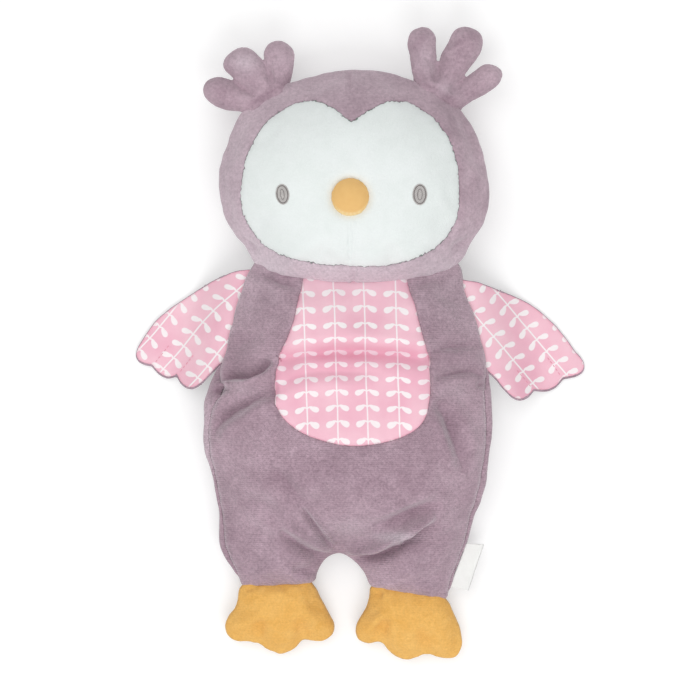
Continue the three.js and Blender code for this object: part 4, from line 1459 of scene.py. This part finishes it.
wingLooks = {
    "left": {
        "outline": [
            (258, 271, "corner"), (250, 270), (236.8, 271.6), (224, 276), (211, 282), (195, 291.5), (179, 302),
            (167, 310.5), (156, 320), (148.8, 329), (143, 338), (137.6, 347), (135.2, 355), (138, 361.8),
            (144.5, 365.2), (151.5, 366.6, "corner"), (158, 374), (166, 378.6), (172.6, 378.2),
            (176.5, 376, "corner"), (180.6, 383.6), (187, 388.4), (194, 389), (203, 383.6), (212, 374.6),
            (221, 366), (228, 362, "corner"),
        ],
        "channels": [[(151.5, 366.6), (161, 355), (171, 342.5)], [(176.5, 376), (185, 366), (194, 355)]],
        "reach": 0.0450,
    },
    "right": {
        "outline": [
            (454, 279, "corner"), (464, 280.4), (477, 282.4), (489, 286.6), (502, 291.4), (515, 296.5),
            (527, 302), (537, 308.6), (548, 317.8), (558, 327.8), (567, 339), (575.5, 351), (582.4, 359),
            (585, 364.6), (584, 371.4), (578, 376.2), (563.5, 379.6, "corner"), (556, 388), (546, 392),
            (538.6, 391.6), (534, 391, "corner"), (527.6, 398), (518.7, 400.7), (511, 397.6), (502, 389),
            (495, 380.4), (488.4, 374), (480, 370, "corner"),
        ],
        "channels": [[(563.5, 379.6), (554, 366), (545, 354)], [(534, 391), (524.5, 379.5), (515, 369)]],
        "reach": 0.0495,
    },
}
wingLook = {
    "voxel": 0.001, "levels": 1, "evening": 9, "merge": 0.13, "front": 0.0018, "back": 0.0010, "half": 0.0007,
    "reach": 0.006, "floor": 0.0002, "cloth": 0.0007, "groove": 0.0001, "grooveWidth": 0.0006,
    "pucker": 0.0002, "puckerReach": 0.003, "puckerPitch": 0.004, "rootHeight": 0.0208, "tipHeight": 0.0016,
    "landing": 0.62, "frontInset": 0.0003, "lowerInset": 0.0008, "channelHeight": 0.005,
    "stitch": 0.00020, "stitchLength": 0.0015, "stitchPitch": 0.0024, "stitchLift": 0.00005,
}
# the channels darken the print with a painted shade along the stitching
channelFold = {
    "depth": 0.0016, "width": 0.0019, "power": 1.2, "height": wingLook["channelHeight"], "fade": 0.25,
    "ridge": 0.3, "shade": 0.5,
}


def wingSeam(side):
    spot, _, away = hinge(f"wing_{side}_fold")
    reach = wingLooks[side]["reach"] * wingLook["landing"]

    def height(flat):
        out = np.clip((flat[:, :2] - np.array(spot[:2])) @ np.array(away[:2]) / reach, 0, 1)
        fall = (1 - np.cos(math.pi * out)) / 2
        return wingLook["rootHeight"] - (wingLook["rootHeight"] - wingLook["tipHeight"]) * fall

    return height


def alongLine(points, height):
    # the point at any distance along a line, and the line's length
    line = smoothLine(points, height, closed=False, step=0.0004)
    far = np.concatenate([[0], np.cumsum(np.linalg.norm(np.diff(line, axis=0), axis=1))])
    return lambda distance: np.array([np.interp(distance, far, line[:, i]) for i in (0, 1)]), far[-1]


for side in ("left", "right"):
    look = {**wingLook, **wingLooks[side], "seam": wingSeam(side)}
    outline = smoothLine(look["outline"], 0.006)
    pad, half = flatPad(f"wing_{side}Pad", outline, look["voxel"])
    look["edges"] = [{"line": look["outline"], "half": look["half"], "reach": look["reach"]}]
    shapePad(pad, half, look, outline)
    subdivided(pad, look["levels"])
    pressFolds(pad, [{"line": line, **channelFold} for line in look["channels"]], look["seam"])

    def frontPly(spots, edge=outline, seam=look["seam"]):
        inside = np.minimum(
            depthIn(edge, spots[:, :2]) - wingLook["frontInset"],
            depthIn(edge + (0, wingLook["lowerInset"]), spots[:, :2]) - wingLook["frontInset"],
        )
        return np.minimum(inside, spots[:, 2] - seam(spots[:, :2]))

    upper, lower = sewPanels(pad, [
        (f"wingUpper{side.title()}", frontPly), (f"wingLower{side.title()}", None),
    ], look)
    dress(upper, printFinish, (f"wing_{side}_front",))
    dress(lower, plushFinish, (f"wing_{side}_back",))
    mapCloth(upper, wingMapping(side))
    top = heightOf([upper], None)
    stitches = []
    for line in look["channels"]:
        walk, length = alongLine(line, look["channelHeight"])
        start = look["stitchPitch"] * 0.3
        while start + look["stitchLength"] < length:
            steps = np.linspace(start, start + look["stitchLength"], 7)
            spots = [(x, y, top(x, y)) for x, y in (walk(distance) for distance in steps)]
            if all(z is not None for x, y, z in spots):
                stitches.append(([Vector((x, y, z + look["stitchLift"])) for x, y, z in spots], False, True))
            start += look["stitchPitch"]
    seamThread = tubes(f"wingStitches{side.title()}", stitches, look["stitch"], 6)
    dress(seamThread, wingThread)
    for piece in (upper, lower, seamThread):
        bendAtRoot(piece)
print("wings sewn")


# Label

label = {
    "corners": [(470.6, 543.5), (483.6, 544.4), (468.3, 590.6), (454, 587.4)],
    "rootIn": 0.0022,
    "height": 0.0122,
    "thick": 0.00035,
    "gap": 0.0006,
    "wave": 0.0006,
    "waves": 1.1,
    "waveStart": 0.6,
    "grid": (25, 49),
    "foldPower": 1.05,
    "foldSpread": 7,
}


def makeLabel():
    # a ribbon folded in two, its ends sewn into the seam and its fold outwards
    top, outTop, outLow, low = (Vector((*spot, 0)) for spot in place(label["corners"], 0.012))
    bm = bmesh.new()
    columns, rows = label["grid"]
    half = columns // 2
    grid = []
    for i in range(rows):
        t = i / (rows - 1)
        root, fold = top.lerp(low, t), outTop.lerp(outLow, t)
        away = (fold - root).normalized()
        wide = (fold - root).length
        wave = label["wave"] * math.sin(2 * math.pi * label["waves"] * t + label["waveStart"])
        line = []
        for k in range(columns):
            s = (k - half) / half
            out = -label["rootIn"] + (wide + label["rootIn"]) * (1 - abs(s) ** label["foldPower"])
            layer = label["gap"] * math.copysign(min(1, abs(s) * label["foldSpread"]) ** 0.5, s) if s else 0
            rise = label["height"] + layer + wave * (out / wide)
            line.append(bm.verts.new(root + away * out + Vector((0, 0, rise))))
        grid.append(line)
    for i in range(rows - 1):
        for k in range(columns - 1):
            bm.faces.new((grid[i][k], grid[i][k + 1], grid[i + 1][k + 1], grid[i + 1][k]))
    ribbon = thickened(objectFrom("sideRibbon", bm), label["thick"], 0)
    dress(ribbon, ribbonFinish, ("side_label",))
    return bendAtRoot(ribbon)


makeLabel()
for piece in (face, hood, headBack, belly, bodyFront, bodyBack):
    nod(piece)


# Table, light and camera

studio = {
    "floor": (0.68, 0.68, 0.68), "floorHalf": 4.0, "floorLift": 0.37, "room": 0.70, "roomColour": (1.0, 1.0, 1.0),
    "key": {"place": (0.15, -0.75, 1.05), "size": 0.9, "power": 5.4},
    "fill": {"place": (-0.4, 0.4, 1.3), "size": 1.2, "power": 4.0},
}
floorMesh = bpy.data.meshes.new("tableTop")
wide = studio["floorHalf"]
floorCorners = [(-wide, -wide, 0), (wide, -wide, 0), (wide, wide, 0), (-wide, wide, 0)]
floorMesh.from_pydata(floorCorners, [], [(0, 1, 2, 3)])
floor = newObject("tableTop", floorMesh)
floorFinish, tree, shader = newMaterial("whitePaper", 0.9, specular=0.05)
shader.inputs["Base Color"].default_value = (*studio["floor"], 1)
shader.inputs["Emission Color"].default_value = (1, 1, 1, 1)


def seenShare(tree):
    # 1 for what the camera sees, also in metal and through glass, and 0 for light on the object
    rays = tree.nodes.new("ShaderNodeLightPath").outputs
    seen = calc(tree, "ADD", rays["Is Camera Ray"], rays["Is Glossy Ray"])
    return calc(tree, "ADD", seen, rays["Is Transmission Ray"], clamp=True)


link(tree, calc(tree, "MULTIPLY", seenShare(tree), studio["floorLift"]), shader.inputs["Emission Strength"])
floorMesh.materials.append(floorFinish)
world = bpy.data.worlds.new("room")
bpy.context.scene.world = world
world.use_nodes = True
backdrop = world.node_tree.nodes["Background"].inputs
backdrop["Color"].default_value = (*studio["roomColour"], 1)
strength = ranged(world.node_tree, seenShare(world.node_tree), 0.0, 1.0, studio["room"], 1.0)
link(world.node_tree, strength, backdrop["Strength"])
for name in ("key", "fill"):
    lamp = bpy.data.lights.new(name, "AREA")
    lamp.shape = "DISK"
    lamp.size = studio[name]["size"]
    lamp.energy = studio[name]["power"]
    light = bpy.data.objects.new(name, lamp)
    light.location = studio[name]["place"]
    aim = Vector((0, 0.04, 0.02)) - light.location
    light.rotation_euler = aim.to_track_quat("-Z", "Y").to_euler()
    bpy.context.scene.collection.objects.link(light)
cameraData = bpy.data.cameras.new("overhead")
cameraData.lens = photo["lens"]
cameraData.sensor_width = photo["sensor"]
cameraData.clip_end = 10
camera = bpy.data.objects.new("overhead", cameraData)
camera.location = (*frameMiddle, cameraAbove + photo["seamHeight"])
bpy.context.scene.collection.objects.link(camera)
bpy.context.scene.camera = camera
bpy.context.scene.view_settings.view_transform = "Standard"
